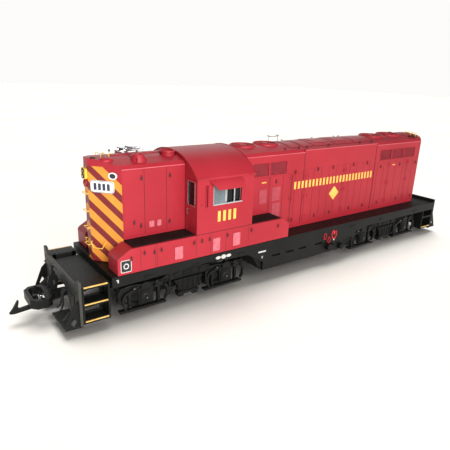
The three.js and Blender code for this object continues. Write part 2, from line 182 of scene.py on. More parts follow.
lit("daylight", "SUN", 0.95, (-350, 2000, 1050), angle=math.radians(50))
near_window = lit("near_window", "AREA", 9.8, (340, 800, 380), size=0.6)
far_wall = lit("far_wall", "SUN", 1.3, (-500, -2000, 500), angle=math.radians(80))
paper_light = lit("paper_light", "SUN", 2.9, (-130, -360, 1900), angle=math.radians(45))
paper_only = bpy.data.collections.new("paper_only")
paper_only.objects.link(paper)
paper_light.light_linking.receiver_collection = paper_only
all_but_paper = bpy.data.collections.new("all_but_paper")
all_but_paper.objects.link(paper)
all_but_paper.collection_objects[0].light_linking.link_state = "EXCLUDE"
near_window.light_linking.receiver_collection = all_but_paper
far_wall.light_linking.receiver_collection = all_but_paper

# Main frame: one black styrene moulding, deck and deep side skirts together, with the drawbar pins.
# Moulded styrene has a soft sheen and a faint grain from the tool. Here and on every later finish the
# grain is drawn several times coarser than real, because a true one would be too fine to see.
BODY = "locomotive_body"
black_styrene = surface("moulded_black_styrene", "#0C0D0C", "#131412", 30, 0.6, 0.012, (0.42, 0.55),
                        {"Specular IOR Level": 0.2})
# The inner pressings were left duller, so they stay dark holes in any light.
black_pressed = surface("matt_black_styrene", "#0B0B0A", "#121211", 20, 0.5, 0.015, (0.6, 0.72),
                        {"Specular IOR Level": 0.15})
# The front plate and platform are drawn dark grey, not black: a painted sheen standing in for the pale room
# reflected in them.
sheen_styrene = surface("sheen_grey_styrene", "#2A2B27", "#353631", 25, 0.6, 0.012, (0.5, 0.62))


def keep(names, material, edge):
    """Gives a frame part its finish and rounds its moulded edges."""
    for name in names:
        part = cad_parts[name]
        part.material_slots[0].material = material
        weld = part.modifiers.new("one_skin", "WELD")
        weld.merge_threshold = 0.002 * MM
        flat = part.modifiers.new("flat_faces", "DECIMATE")
        flat.decimate_type = "DISSOLVE"
        flat.angle_limit = math.radians(1)
        round_edges(part, edge, 25)
        part.modifiers.new("even_shading", "WEIGHTED_NORMAL").keep_sharp = False


keep(["main_frame"], black_styrene, 0.35)


def block(mesh, x, y, z):
    """A rectangular block between two x, two y and two z values."""
    c = [mesh.verts.new((a, b, d)) for a in x for b in y for d in z]
    for face in ((0, 1, 3, 2), (4, 6, 7, 5), (0, 4, 5, 1), (2, 3, 7, 6), (0, 2, 6, 4), (1, 5, 7, 3)):
        mesh.faces.new([c[i] for i in face])


def loft(mesh, rings):
    """Closes a stack of equal rings of points with a face over each end and a wall between each two."""
    mesh.faces.new(rings[0])
    mesh.faces.new(rings[-1])
    for one, two in zip(rings, rings[1:]):
        for k in range(len(one)):
            n = (k + 1) % len(one)
            mesh.faces.new((one[k], one[n], two[n], two[k]))


def prism(mesh, outline, axis, low, high):
    """An outline pushed along an axis from low to high."""
    def spot(a, b, c):
        return {"x": (c, a, b), "y": (a, c, b), "z": (a, b, c)}[axis]
    loft(mesh, [[mesh.verts.new(spot(a, b, c)) for a, b in outline] for c in (low, high)])


def turned(mesh, profile, axis, centre, sides=32):
    """A profile of (radius, height) pairs turned round an axis through the centre."""
    rings = []
    for radius, height in profile:
        ring = []
        for k in range(sides if radius > 0 else 1):
            u = radius * math.cos(2 * math.pi * k / sides)
            v = radius * math.sin(2 * math.pi * k / sides)
            reach = {"x": (height, u, v), "y": (u, height, v), "z": (u, v, height)}[axis]
            ring.append(mesh.verts.new([c + r for c, r in zip(centre, reach)]))
        rings.append(ring)
    for lower, upper in zip(rings, rings[1:]):
        for k in range(sides):
            n = (k + 1) % sides
            corners = dict.fromkeys((lower[k % len(lower)], lower[n % len(lower)],
                                     upper[n % len(upper)], upper[k % len(upper)]))
            if len(corners) > 2:
                mesh.faces.new(list(corners))


def wire(mesh, points, radius, sides=8):
    """A round wire bent through the points."""
    points = [Vector(p) for p in points]
    across, rings = None, []
    for i, point in enumerate(points):
        before = point - points[i - 1] if i else points[1] - point
        after = points[i + 1] - point if i + 1 < len(points) else before
        along = (before.normalized() + after.normalized()).normalized()
        across = along.orthogonal() if across is None else across
        across = (across - along * across.dot(along)).normalized()
        other = along.cross(across)
        rings.append([mesh.verts.new(point + radius * (across * math.cos(a) + other * math.sin(a)))
                      for a in [2 * math.pi * k / sides for k in range(sides)]])
    loft(mesh, rings)


def fit(part, body, slot, *stands_for):
    """Fixes a piece to a body and hides the frame parts it stands for; slot is not used."""
    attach(part, body)
    if stands_for:
        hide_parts(*stands_for)
    return part


# Skirt fittings: a printed oval works plate, two label strips, the fuel filler with its gauges, sight
# glasses and caps, and the jacking pads, all pressed into the skirt moulding.
SILL_Y = 52.6
HANDS = (("left", 1), ("right", -1))
# Pad-printed white is thin over black, so it looks a chalky grey.
white_print = surface("printed_white", "#B2AFAA", "#C6C3BE", 6, 0.4, 0.004, (0.5, 0.6))
# Brushed enamel flows out smooth and gives the filler a wet red shine.
red_gloss = surface("glossy_red_enamel", "#B01823", "#C02530", 8, 0.5, 0.004, (0.25, 0.35))


def oval(x, z, width, height, count=24):
    """The outline of an oval round x and z."""
    turns = [2 * math.pi * k / count for k in range(count)]
    return [(x + width / 2 * math.cos(a), z + height / 2 * math.sin(a)) for a in turns]


def facets(outer, inner):
    """The four-cornered bits that fill the band between two outlines of equal count."""
    pairs = list(zip(outer, inner))
    return [[a, c, d, b] for (a, b), (c, d) in zip(pairs, pairs[1:] + pairs[:1])]


def outward(profile, side):
    """A (radius, height) profile pointing out on its side, listed from the low end up."""
    return [(radius, side * height) for radius, height in profile[::side]]


for hand, side in HANDS:
    face = side * SILL_Y
    prints = bmesh.new()
    for x in (116.6, 130.0):
        prism(prints, oval(x, 44.9, 6.4, 3.4), "y", face, face + side * 0.15)
    prism(prints, oval(123.3, 44.9, 6.4, 4.8), "y", face, face + side * 0.3)
    for x0, x1, z0, z1 in ((64.5, 75.5, 38.4, 40.2), (68.6, 70.4, 33.0, 33.9), (68.6, 70.4, 31.4, 32.3),
                           (239.9, 241.1, 43.8, 47.0), (241.1, 242.3, 46.2, 47.0)):
        block(prints, (x0, x1), (face, face + side * 0.12), (z0, z1))
    turned(prints, [(0, 0), (1.1, 0), (1.1, 0.5), (0, 0.7)], "y", (-49.2, face, 31.6), 12)
    fit(finished("skirt_prints_" + hand, prints, white_print, 0.05), BODY, "frame_plastic")
    filler = bmesh.new()
    collar = facets(oval(-48.6, 39.4, 9.6, 13.4, 28), oval(-48.6, 39.4, 7.4, 10.8, 28))
    for facet in collar[:5] + collar[11:]:
        prism(filler, facet, "y", face, face + side * 0.9)
    prism(filler, oval(-48.2, 41.4, 3.2, 5.2), "y", face, face + side * 1.2)
    for x, z in ((-32.2, 38.6), (-39.7, 32.8)):
        for facet in facets(oval(x, z, 4.6, 8.4, 20), oval(x, z, 3.6, 7.2, 20)):
            prism(filler, facet, "y", face, face + side * 1.0)
    fit(finished("filler_and_gauge_rings_" + hand, filler, red_gloss), BODY, "frame_plastic")
    caps = bmesh.new()
    for x, z, r, deep in ((-38.3, 24.6, 4.4, 5.5), (-61.5, 21.4, 3.9, 5.0), (-44.5, 25.5, 2.6, 5.8)):
        low, high = sorted((face - side * 2, face + side * deep))
        turned(caps, [(0, low), (r, low), (r, high), (0, high)], "y", (x, 0, z), 24)
        nut = high + 0.4 * (side > 0)
        turned(caps, [(0, low), (r * 0.5, low), (r * 0.5, nut), (0, nut)], "y", (x, 0, z), 6)
    for x in (205, 152, 95, -90, -150, -230):
        block(caps, (x, x + 9), (face, face + side * 0.7), (41.8, 44.2))
    wire(caps, [(-66, face + side * 2, 20), (-74, face + side * 2.4, 24), (-82, face + side * 1.2, 27.4),
                (-86, face - side * 0.4, 28)], 0.7)
    fit(finished("skirt_fittings_" + hand, caps, black_styrene, 0.2), BODY, "frame_plastic")

# Deck dressing: raised chequer strips along both walkways, leaning each way in turn. They belong to
# the frame's black styrene and come out of the same mould.
checker = bmesh.new()
for side in (1, -1):
    for row, y in enumerate((35.5, 40, 44.5, 49)):
        for k in range(46):
            x = 24 - 6 * k - 3 * (row % 2)
            lean = 1.1 if row % 2 else -1.1
            prism(checker, [(x - 1.5, side * y - lean), (x - 1.2, side * y - lean - 0.45),
                            (x + 1.5, side * y + lean), (x + 1.2, side * y + lean + 0.45)], "z", 50, 50.35)
fit(finished("deck_chequer", checker, black_styrene), BODY, "frame_plastic")

# Fuel tank: a black styrene tub between the skirts, screwed up under the deck. A small speaker with a
# card cone lies on its floor and faces down.
keep(["fuel_tank"], black_styrene, 0.5)
# Pressed card is flat black and a little fibrous; its fibres are drawn coarser than real ones.
speaker_paper = surface("pressed_speaker_card", "#0F0F10", "#1A1A1C", 5, 0.4, 0.05, (0.7, 0.85))
keep(["speaker"], speaker_paper, 0.15)

# Hoods: four thin ABS shells butted end to end on the deck, sprayed crimson before they go together.
# The spray leaves an even satin coat that glares pale where it faces the window.
crimson = surface("sprayed_crimson_abs", "#99202B", "#A62833", 70, 0.5, 0.010, (0.36, 0.48),
                  {"Specular IOR Level": 0.25})
# Little light gets into the door gaps, so they read as thin dark red lines.
seam_dark = surface("shadowed_crimson_seam", "#3A0A10", "#4A0E15", 8, 0.4, 0.01, (0.6, 0.7))
HOODS = ["short_hood", "long_hood_front", "long_hood_middle", "long_hood_rear"]
keep(HOODS, crimson, 0.5)
HOOD_Y = 30.2
DOOR_LOW, DOOR_HIGH = 56.0, 117.5
SKIN = 0.3


def skins(mesh, edges, low, high, side):
    """Raised door skins between neighbouring x edges."""
    for x0, x1 in zip(edges, edges[1:]):
        if abs(x1 - x0) > 1.6:
            block(mesh, (x0 - 0.25, x1 + 0.25), (side * (HOOD_Y - 0.2), side * (HOOD_Y + SKIN)), (low, high))


def seams(mesh, edges, low, high, side):
    """Dark lines in the gaps between the skins."""
    for x in edges:
        block(mesh, (x - 0.25, x + 0.25), (side * (HOOD_Y - 0.2), side * (HOOD_Y + 0.1)), (low, high))


SHORT_EDGES = (223.0, 201.8, 178.3, 158.4)
FRONT_EDGES = (83.0, 69.0, 46.8, 45.0, 25.0, 12.4, 10.8, 5.8, -7.2)
MIDDLE_EDGES = (-8.8, -12.0, -25.4, -38.8, -52.2, -65.6, -79.0, -82.4, -92.4, -105.8, -119.2, -132.6, -143.2)
REAR_EDGES = (-144.8, -150.6, -164.5, -174.6, -176.6, -192.5, -209.5, -218.5, -220.5, -233.0, -247.0)
for hand, side in HANDS:
    skin = bmesh.new()
    dark = bmesh.new()
    for edges, low, high in ((SHORT_EDGES, 78, 140.5), (FRONT_EDGES, DOOR_LOW, DOOR_HIGH),
                             (MIDDLE_EDGES, DOOR_LOW, 121), (REAR_EDGES, DOOR_LOW, DOOR_HIGH)):
        skins(skin, edges, low, high, side)
        seams(dark, edges[1:-1], low, high, side)
    block(skin, (158, 223.6), (side * (HOOD_Y - 0.3), side * (HOOD_Y + 0.9)), (75.6, 77.2))
    block(skin, (-246.5, 31), (side * (HOOD_Y - 0.3), side * (HOOD_Y + 0.8)), (50.4, 53.2))
    block(dark, (-8.3, -7.7), (side * (HOOD_Y - 0.3), side * (HOOD_Y + 0.1)), (53, 140))
    block(dark, (-144.2, -143.8), (side * (HOOD_Y - 0.3), side * (HOOD_Y + 0.1)), (53, 141))
    fit(finished("door_skins_" + hand, skin, crimson, 0.12), BODY, "body_plastic")
    fit(finished("door_seams_" + hand, dark, seam_dark), BODY, "body_plastic")

# Hood eaves: the rolled edge where each hood side meets its roof, drawn in a paler, glossier crimson as a
# painted highlight, so it shows the thin pale line where the edge catches the light. Part of the hood
# moulding.
highlight_crimson = surface("painted_highlight_crimson_edge", "#C4505B", "#D2626C", 12, 0.5, 0.008, (0.26, 0.36))
eaves = bmesh.new()
for x0, x1, z in ((158.0, 223.6, 141.6), (-7.6, 86.8, 141.6), (-143.6, -8.4, 144.0), (-247.4, -144.4, 141.6)):
    for side in (1, -1):
        wire(eaves, [(x0, side * (HOOD_Y + 0.05), z), (x1, side * (HOOD_Y + 0.05), z)], 0.45)
fit(finished("hood_eave_edges", eaves, highlight_crimson), BODY, "body_plastic")

# Door furniture: moulded latches and hinge knuckles, their bolts drawn in a dark crimson that is painted
# shade, standing in for the shadow round each latch, so that they stand out.
# The latches sit in two rows, and each hinge is a short round knuckle on the seam.
shade_crimson = surface("dark_crimson_painted_shade", "#30090E", "#4A0F17", 3, 0.3, 0.02, (0.5, 0.65))
LATCHES = [(204.6, 132.4), (174.6, 132.4), (206.2, 86.3), (175.4, 86.3), (213.0, 90.6),
           (6.1, 119.2), (36.0, 111.1), (-32.0, 119.2), (-59.1, 119.2), (-98.7, 119.2), (-126.5, 119.2),
           (-157.5, 111.4), (-201.7, 111.2), (-240.5, 111.0),
           (6.7, 60.2), (-32.3, 60.2), (-60.1, 60.2), (-98.6, 60.2), (-126.9, 60.2), (-159.0, 60.2),
           (-204.0, 60.2), (-240.5, 60.2)]
HINGES = [-11.0, -16.0, -80.4, -85.0, -173.2, -178.0, -217.3, -222.0, 9.2, 14.0]
for hand, side in HANDS:
    plates, bolts = bmesh.new(), bmesh.new()
    for x, z in LATCHES:
        block(plates, (x - 1.5, x + 1.5), (side * HOOD_Y, side * (HOOD_Y + 0.55)), (z - 2.4, z + 2.0))
        block(bolts, (x - 0.9, x + 0.9), (side * HOOD_Y, side * (HOOD_Y + 1.2)), (z - 1.7, z + 1.5))
        turned(bolts, outward([(0, 0), (0.45, 0), (0.45, 1.0), (0, 1.2)], side), "y",
               (x - 0.3, side * HOOD_Y, z + 2.4), 8)
    for x in HINGES:
        for z in (62, 88.5, 113.5):
            turned(plates, [(0, -2.2), (0.75, -2.2), (0.75, 2.2), (0, 2.2)], "z",
                   (x, side * (HOOD_Y + 0.35), z), 8)
            block(bolts, (x - 0.3, x + 0.3), (side * HOOD_Y, side * (HOOD_Y + 0.8)), (z - 2.6, z - 2.1))
    fit(finished("latch_plates_" + hand, plates, crimson, 0.1), BODY, "body_plastic")
    fit(finished("latch_bolts_" + hand, bolts, shade_crimson), BODY, "body_plastic")

# Louvres and meshes: printed and etched inlays in the doors and side boxes, a pale pink so that the
# fine slats show. Each is a thin frame with slats about a millimetre apart.
# The louvres are a paler pink than the crimson body.
pale_louvre = surface("pale_pink_louvre", "#B4545E", "#C46C76", 4, 0.4, 0.02, (0.5, 0.65))
# The open meshes stay near the body colour.
dusky_mesh = surface("dusky_etched_mesh", "#982F3A", "#A83E49", 4, 0.4, 0.02, (0.45, 0.6))


def louvre(mesh, x0, x1, z0, z1, face, side, pitch):
    """A frame with slats across it, standing a little off the face."""
    rim = 0.35
    for a, b, c, d in ((x0, x1, z0, z0 + rim), (x0, x1, z1 - rim, z1),
                       (x0, x0 + rim, z0, z1), (x1 - rim, x1, z0, z1)):
        block(mesh, (a, b), (side * (face - 0.1), side * (face + 0.35)), (c, d))
    block(mesh, (x0, x1), (side * (face - 0.1), side * (face + 0.08)), (z0, z1))
    count = round((z1 - z0) / pitch)
    for k in range(1, count):
        z = z0 + (z1 - z0) * k / count
        lip = [(side * (face + 0.05), z - 0.3), (side * (face + 0.32), z - 0.3),
               (side * (face + 0.05), z + 0.25)]
        prism(mesh, lip, "x", x0, x1)


for hand, side in HANDS:
    pale, dusky = bmesh.new(), bmesh.new()
    for x0, x1, z0, z1 in ((172.7, 181.7, 53.6, 66.6), (128.4, 137.2, 53.4, 67.4),
                           (102.4, 111.8, 54.4, 68.6)):
        louvre(pale, x0, x1, z0, z1, SILL_Y, side, 1.15)
    for x0, x1 in ((192.2, 197.5), (184.4, 188.9)):
        louvre(pale, x0, x1, 83.4, 89.6, HOOD_Y + SKIN, side, 1.15)
    for x0, x1, z0, z1 in ((49, 60.5, 87.4, 104), (28.4, 41.6, 88.4, 105), (27.4, 40.4, 68.2, 86)):
        louvre(dusky, x0, x1, z0, z1, HOOD_Y + SKIN, side, 1.4)
    fit(finished("pale_louvres_" + hand, pale, pale_louvre), BODY, "body_plastic")
    fit(finished("door_meshes_" + hand, dusky, dusky_mesh), BODY, "body_plastic")

# Radiator grilles: fine slatted inserts pressed into the openings high on the long hood, with a black
# baffle behind them that keeps light out of the shell.
GRILLES = [(21, 45, 119.5, 133.5), (48, 71, 119.5, 133.5), (-178, -154, 120.5, 134),
           (-206, -181, 120.5, 134), (-234, -209, 120.5, 134)]
# The slats lean back out of the light, so their paint looks a deeper red.
slat_crimson = surface("shaded_crimson_slat", "#7E1C27", "#8E2530", 12, 0.4, 0.01, (0.45, 0.6))
for hand, side in HANDS:
    slats, baffles, rims = bmesh.new(), bmesh.new(), bmesh.new()
    for x0, x1, z0, z1 in GRILLES:
        block(baffles, (x0 - 1, x1 + 1), (side * 26.2, side * 27.2), (z0 - 1, z1 + 1))
        count = 9
        for k in range(count + 1):
            z = z0 + (z1 - z0) * k / count
            blade = [(side * 29.7, z - 0.95), (side * 30.0, z - 0.95), (side * 29.1, z + 0.3),
                     (side * 28.8, z + 0.3)]
            prism(slats, blade, "x", x0 - 0.5, x1 + 0.5)
        for k in range(1, 16):
            x = x0 + (x1 - x0) * k / 16
            block(slats, (x - 0.22, x + 0.22), (side * 29.3, side * 29.9), (z0 - 0.5, z1 + 0.5))
        for a, b, c, d in ((x0 - 0.7, x1 + 0.7, z0 - 0.7, z0), (x0 - 0.7, x1 + 0.7, z1, z1 + 0.7),
                           (x0 - 0.7, x0, z0, z1), (x1, x1 + 0.7, z0, z1)):
            block(rims, (a, b), (side * (HOOD_Y - 1), side * (HOOD_Y + 0.3)), (c, d))
    fit(finished("grille_slats_" + hand, slats, slat_crimson), BODY, "body_plastic")
    fit(finished("grille_rims_" + hand, rims, crimson, 0.1), BODY, "body_plastic")
    fit(finished("grille_baffles_" + hand, baffles, black_pressed), BODY, "body_plastic")

# Nose chevrons: orange and maroon bands printed on the nose, falling from the centre to the corners.
# They lie on the flat in the middle and on the slanting corner faces.
# Both inks lie thin and smooth on the paint, with a satin edge where they catch the window.
orange_print = surface("printed_orange", "#E0892B", "#E89636", 14, 0.4, 0.004, (0.38, 0.5))
maroon_print = surface("printed_maroon", "#6F161C", "#7C1D22", 14, 0.4, 0.004, (0.38, 0.5))
NOSE_X = 245.8
CORNER = (-0.6559, 0.7548)
BAND_FALL, BAND_STEP, BAND_FIRST = 0.85, 17.45, 156.0
ORANGE_TALL = 9.4


def clipped(points, limit, keep_below):
    """The part of a polygon below or above a height."""
    kept = []
    for (a, b), (c, d) in zip(points, points[1:] + points[:1]):
        inside = (b <= limit) == keep_below
        if inside:
            kept.append((a, b))
        if inside != ((d <= limit) == keep_below):
            share = (limit - b) / (d - b)
            kept.append((a + (c - a) * share, limit))
    return kept


def nose_spot(t, out, side):
    """A point on the nose, t mm from the edge of the flat towards the corner, `out` mm proud."""
    if t < 0:
        return (NOSE_X + out, side * (5 + t))
    return (NOSE_X + CORNER[0] * t + CORNER[1] * out, side * (5 + CORNER[1] * t - CORNER[0] * out))


def on_corner(mesh, outline, t, z, low, high, side):
    """An outline standing on the nose at t and z, from low to high mm proud of it."""
    loft(mesh, [[mesh.verts.new((*nose_spot(t + a, out, side), z + b)) for a, b in outline]
                for out in (low, high)])


def band(mesh, top, tall, side):
    """One printed band, on the flat and on the corner, cut off at the roof and at the deck."""
    for t0, t1 in ((-5.0, -0.001), (0.0, 33.3)):
        outline = [(t0, top - BAND_FALL * t0), (t1, top - BAND_FALL * t1),
                   (t1, top - tall - BAND_FALL * t1), (t0, top - tall - BAND_FALL * t0)]
        outline = clipped(outline, 143.2, True)
        outline = clipped(outline, 50.8, False) if outline else outline
        if len(outline) > 2:
            on_corner(mesh, outline, 0, 0, -0.1, 0.1, side)


orange, maroon = bmesh.new(), bmesh.new()
for side in (1, -1):
    for k in range(8):
        top = BAND_FIRST - BAND_STEP * k
        band(orange, top, ORANGE_TALL, side)
        band(maroon, top - ORANGE_TALL, BAND_STEP - ORANGE_TALL, side)
fit(finished("nose_orange_bands", orange, orange_print), BODY, "body_plastic")
fit(finished("nose_maroon_bands", maroon, maroon_print), BODY, "body_plastic")

# Number boards: white moulded lozenges with a thin dark rim, one on each nose corner. They carry four
# plain upright blocks in place of figures.
# White styrene is clean and bright with a soft shine; the ink on it is a flat dark blue.
board_white = surface("moulded_white_styrene", "#E9E9E6", "#F4F4F1", 10, 0.5, 0.01, (0.35, 0.45))
board_ink = surface("printed_dark_blue", "#2B3145", "#353C52", 4, 0.4, 0.004, (0.5, 0.6))


def lozenge(half_wide, half_tall, corner, steps=5):
    """A rectangle outline with rounded corners, round 0, 0."""
    points = []
    for sx, sz, start in ((1, 1, 0), (-1, 1, 90), (-1, -1, 180), (1, -1, 270)):
        for k in range(steps + 1):
            a = math.radians(start + 90 * k / steps)
            points.append((sx * (half_wide - corner) + corner * math.cos(a),
                           sz * (half_tall - corner) + corner * math.sin(a)))
    return points


for hand, side in HANDS:
    plate, ink = bmesh.new(), bmesh.new()
    on_corner(plate, lozenge(11.8, 5.7, 2.8), 14.4, 125.0, 0.3, 1.9, side)
    for k in range(4):
        on_corner(ink, lozenge(1.4, 3.2, 0.5, 2), 14.4 + (k - 1.5) * 4.4, 125.0, 1.8, 2.05, side)
    for facet in facets(lozenge(11.5, 5.4, 2.6), lozenge(11.1, 5.0, 2.3)):
        on_corner(ink, facet, 14.4, 125.0, 1.7, 2.0, side)
    fit(finished("number_board_plate_" + hand, plate, board_white, 0.25), BODY, "board_plastic",
        "number_board_" + hand)
    fit(finished("number_board_print_" + hand, ink, board_ink), BODY, "board_plastic")

# Class lights: a small white styrene ring beside each number board, glued on its own boss, with a
# smoked plastic lens pressed into it.
# A polished smoked lens looks almost black, with one small sharp highlight.
smoked_lens = surface("smoked_lens", "#120C0E", "#1C1215", 6, 0.4, 0.004, (0.05, 0.12), {"Coat Weight": 0.6})
for hand, side in HANDS:
    ring, eye = bmesh.new(), bmesh.new()
    inner = oval(0, 0, 6.2, 4.7, 28)
    for facet in facets(oval(0, 0, 8.4, 6.6, 28), inner):
        on_corner(ring, facet, 25.0, 135.6, -0.2, 1.2, side)
    on_corner(eye, inner, 25.0, 135.6, -0.2, 0.8, side)
    on_corner(eye, oval(0, 0, 3.4, 2.8, 16), 25.0, 135.6, 0.8, 1.5, side)
    fit(finished("class_light_ring_" + hand, ring, board_white), BODY, "lamp_plastic")
    fit(finished("class_light_lens_" + hand, eye, smoked_lens, 0.15), BODY, "lamp_plastic")

# Headlights: yellow housings clipped over the middle of each end, with twin lenses in dark bezels.
# The front one has a red warning lamp below it.
# The housing is a warm, slightly shiny yellow; its lenses are silvered behind clear plastic.
yellow_cap = surface("moulded_yellow_styrene", "#F0B62C", "#F8C440", 6, 0.4, 0.01, (0.35, 0.45))
clear_lens = surface("clear_lens", "#C9CCD0", "#E2E4E6", 3, 0.4, 0.004, (0.03, 0.08),
                     {"Coat Weight": 1.0, "Metallic": 0.3})
for end, x, sign in (("front", NOSE_X + 0.3, 1), ("rear", -257.3, -1)):
    shell, bezel, glass = bmesh.new(), bmesh.new(), bmesh.new()
    prism(shell, [(y, 135.5 + z) for y, z in lozenge(5.4, 5.0, 2.2)], "x", x, x + sign * 2.4)
    for z in (138.0, 133.0):
        rim = [(2.4, 0), (2.4, sign * 0.9), (1.9, sign * 1.1), (1.8, sign * 0.2)]
        turned(bezel, rim, "x", (x + sign * 2.2, 0, z), 20)
        turned(glass, [(1.9, 0), (1.9, sign * 0.5), (1.2, sign * 0.9), (0, sign * 1.05)], "x",
               (x + sign * 2.2, 0, z), 20)
    fit(finished("headlight_housing_" + end, shell, yellow_cap if sign > 0 else crimson, 0.4), BODY,
        "lamp_plastic", "headlight_" + end)
    fit(finished("headlight_bezels_" + end, bezel, black_styrene), BODY, "lamp_plastic")
    fit(finished("headlight_lenses_" + end, glass, clear_lens), BODY, "lamp_plastic")
# Deep red plastic, polished, that darkens towards its centre.
ruby = surface("ruby_lens", "#7E0D15", "#9A131C", 4, 0.4, 0.004, (0.06, 0.14), {"Coat Weight": 0.8})
warning = bmesh.new()
turned(warning, [(4.0, 0), (4.0, 1.6), (3.3, 2.0), (3.1, 1.2), (2.6, 2.3), (1.4, 3.0), (0, 3.2)], "x",
       (NOSE_X, 0, 126.4), 28)
fit(finished("warning_lamp", warning, ruby), BODY, "lamp_plastic")

# Grab irons: brass wire bent square and sprayed yellow, pushed into holes in the nose and the roof.
# Those up the rear end are the same wire, left black.
# Sprayed wire is glossier than the shell, so each bend carries a bright line.
yellow_wire = surface("yellow_sprayed_wire", "#E9B53A", "#F4C85A", 4, 0.3, 0.01, (0.3, 0.42))
irons = bmesh.new()


def iron(mesh, t0, t1, z, stand, side, drop=0.0, radius=0.42):
    """A grab iron across the nose corner from t0 to t1, `stand` mm off it."""
    t2, t3 = t0 + abs(drop) * 0.5, t1 - abs(drop) * 0.5
    wire(mesh, [(*nose_spot(t0, -0.3, side), z), (*nose_spot(t0, stand, side), z),
                (*nose_spot(t2, stand + 0.2, side), z - drop), (*nose_spot(t3, stand + 0.2, side), z - drop),
                (*nose_spot(t1, stand, side), z), (*nose_spot(t1, -0.3, side), z)], radius)


iron(irons, 0.6, 15.0, 70.2, 2.6, 1, 5.6, 0.55)
iron(irons, 0.6, 15.0, 70.2, 2.6, -1, 5.6, 0.55)
for z in (117.0, 100.0, 83.4, 66.6):
    wire(irons, [(NOSE_X - 0.5, -4.4, z), (NOSE_X + 3.4, -4.4, z), (NOSE_X + 3.4, 4.4, z),
                 (NOSE_X - 0.5, 4.4, z)], 0.42)
wire(irons, [(232, -10, 149), (232, -10, 151.8), (226, 8, 152.4), (226, 8, 149.4)], 0.4)
wire(irons, [(226, -6, 149.4), (226, -6, 152.4), (234, 8, 151.8), (234, 8, 149)], 0.4)
wire(irons, [(222, -1, 149.8), (222, -1, 153.8)], 0.35)
for x in (-252.0, -243.0):
    wire(irons, [(x, 22, 145.6), (x, 22, 150.4), (x, 4, 152.8), (x, 4, 149.6)], 0.35)
fit(finished("yellow_grab_irons", irons, yellow_wire), BODY, "lamp_plastic")
tip = bmesh.new()
turned(tip, [(0, 0), (0.8, 0.3), (0.9, 1.4), (0.5, 2.2), (0, 2.4)], "z", (222, -1, 153.4), 12)
fit(finished("whip_tip", tip, black_styrene), BODY, "lamp_plastic")
rear_irons = bmesh.new()
for z in (66.6, 83.4, 100.0, 117.0):
    wire(rear_irons, [(-256.5, -14, z), (-259.8, -14, z), (-259.8, -4, z), (-256.5, -4, z)], 0.42)
fit(finished("rear_ladder_irons", rear_irons, black_styrene), BODY, "body_plastic")

# Side boxes: crimson ABS lockers along the deck edge that carry the raised walkway past the cab. Doors
# are scribed in their faces, with the same latches as the hoods, their bolts in the dark crimson of painted
# shade.
keep(["side_box_left", "side_box_right"], crimson, 0.35)
BOX_SEAMS = [(217.6, 50.8, 73.0), (202.4, 50.8, 73.6), (200.4, 50.8, 73.6), (157.4, 50.8, 73.6),
             (91.1, 50.8, 73.6), (139.9, 50.8, 73.6), (121.0, 50.8, 73.6)]
BOX_LATCHES = [(213.8, 67.7), (203.6, 66.4), (196.2, 67.2), (159.9, 67.4), (150.7, 67.5), (119.2, 68.0),
               (87.2, 68.0), (48.8, 66.4), (226.9, 64.8), (141.5, 67.5)]
for hand, side in HANDS:
    dark, plates, bolts = bmesh.new(), bmesh.new(), bmesh.new()
    for x, z0, z1 in BOX_SEAMS:
        block(dark, (x - 0.18, x + 0.18), (side * (SILL_Y - 0.1), side * (SILL_Y + 0.06)), (z0, z1))
    block(dark, (87.5, 156.8), (side * (SILL_Y - 0.1), side * (SILL_Y + 0.06)), (74.05, 74.4))
    for x, z in BOX_LATCHES:
        block(plates, (x - 1.5, x + 1.5), (side * SILL_Y, side * (SILL_Y + 0.35)), (z - 2.2, z + 1.8))
        block(bolts, (x - 0.85, x + 0.85), (side * SILL_Y, side * (SILL_Y + 1.0)), (z - 1.6, z + 1.2))
        block(bolts, (x - 0.3, x + 0.3), (side * SILL_Y, side * (SILL_Y + 0.7)), (z + 1.4, z + 2.4))
    fit(finished("box_door_seams_" + hand, dark, seam_dark), BODY, "body_plastic")
    fit(finished("box_latch_plates_" + hand, plates, crimson, 0.1), BODY, "body_plastic")
    fit(finished("box_latch_bolts_" + hand, bolts, shade_crimson), BODY, "body_plastic")

# Corner badge: a dark square transfer on the front corner of each side box, with a white rounded
# edge and a plain white ring. It is printed on film and rubbed down on the paint.
# The panel is a flat near-black film.
badge_dark = surface("printed_black_panel", "#15191B", "#1E2325", 5, 0.4, 0.004, (0.4, 0.5))
for hand, side in HANDS:
    rim, panel = bmesh.new(), bmesh.new()
    x, z = 232.2, 58.4
    prism(rim, [(x + a, z + b) for a, b in lozenge(5.3, 6.0, 1.4)], "y",
          side * (SILL_Y - 0.05), side * (SILL_Y + 0.1))
    prism(panel, [(x + a, z + b) for a, b in lozenge(4.6, 5.3, 1.0)], "y",
          side * SILL_Y, side * (SILL_Y + 0.16))
    for facet in facets(oval(x, z, 5.4, 5.8, 20), oval(x, z, 3.4, 3.8, 20)):
        prism(rim, facet, "y", side * SILL_Y, side * (SILL_Y + 0.22))
    fit(finished("corner_badge_edge_" + hand, rim, white_print), BODY, "body_plastic")
    fit(finished("corner_badge_panel_" + hand, panel, badge_dark), BODY, "body_plastic")

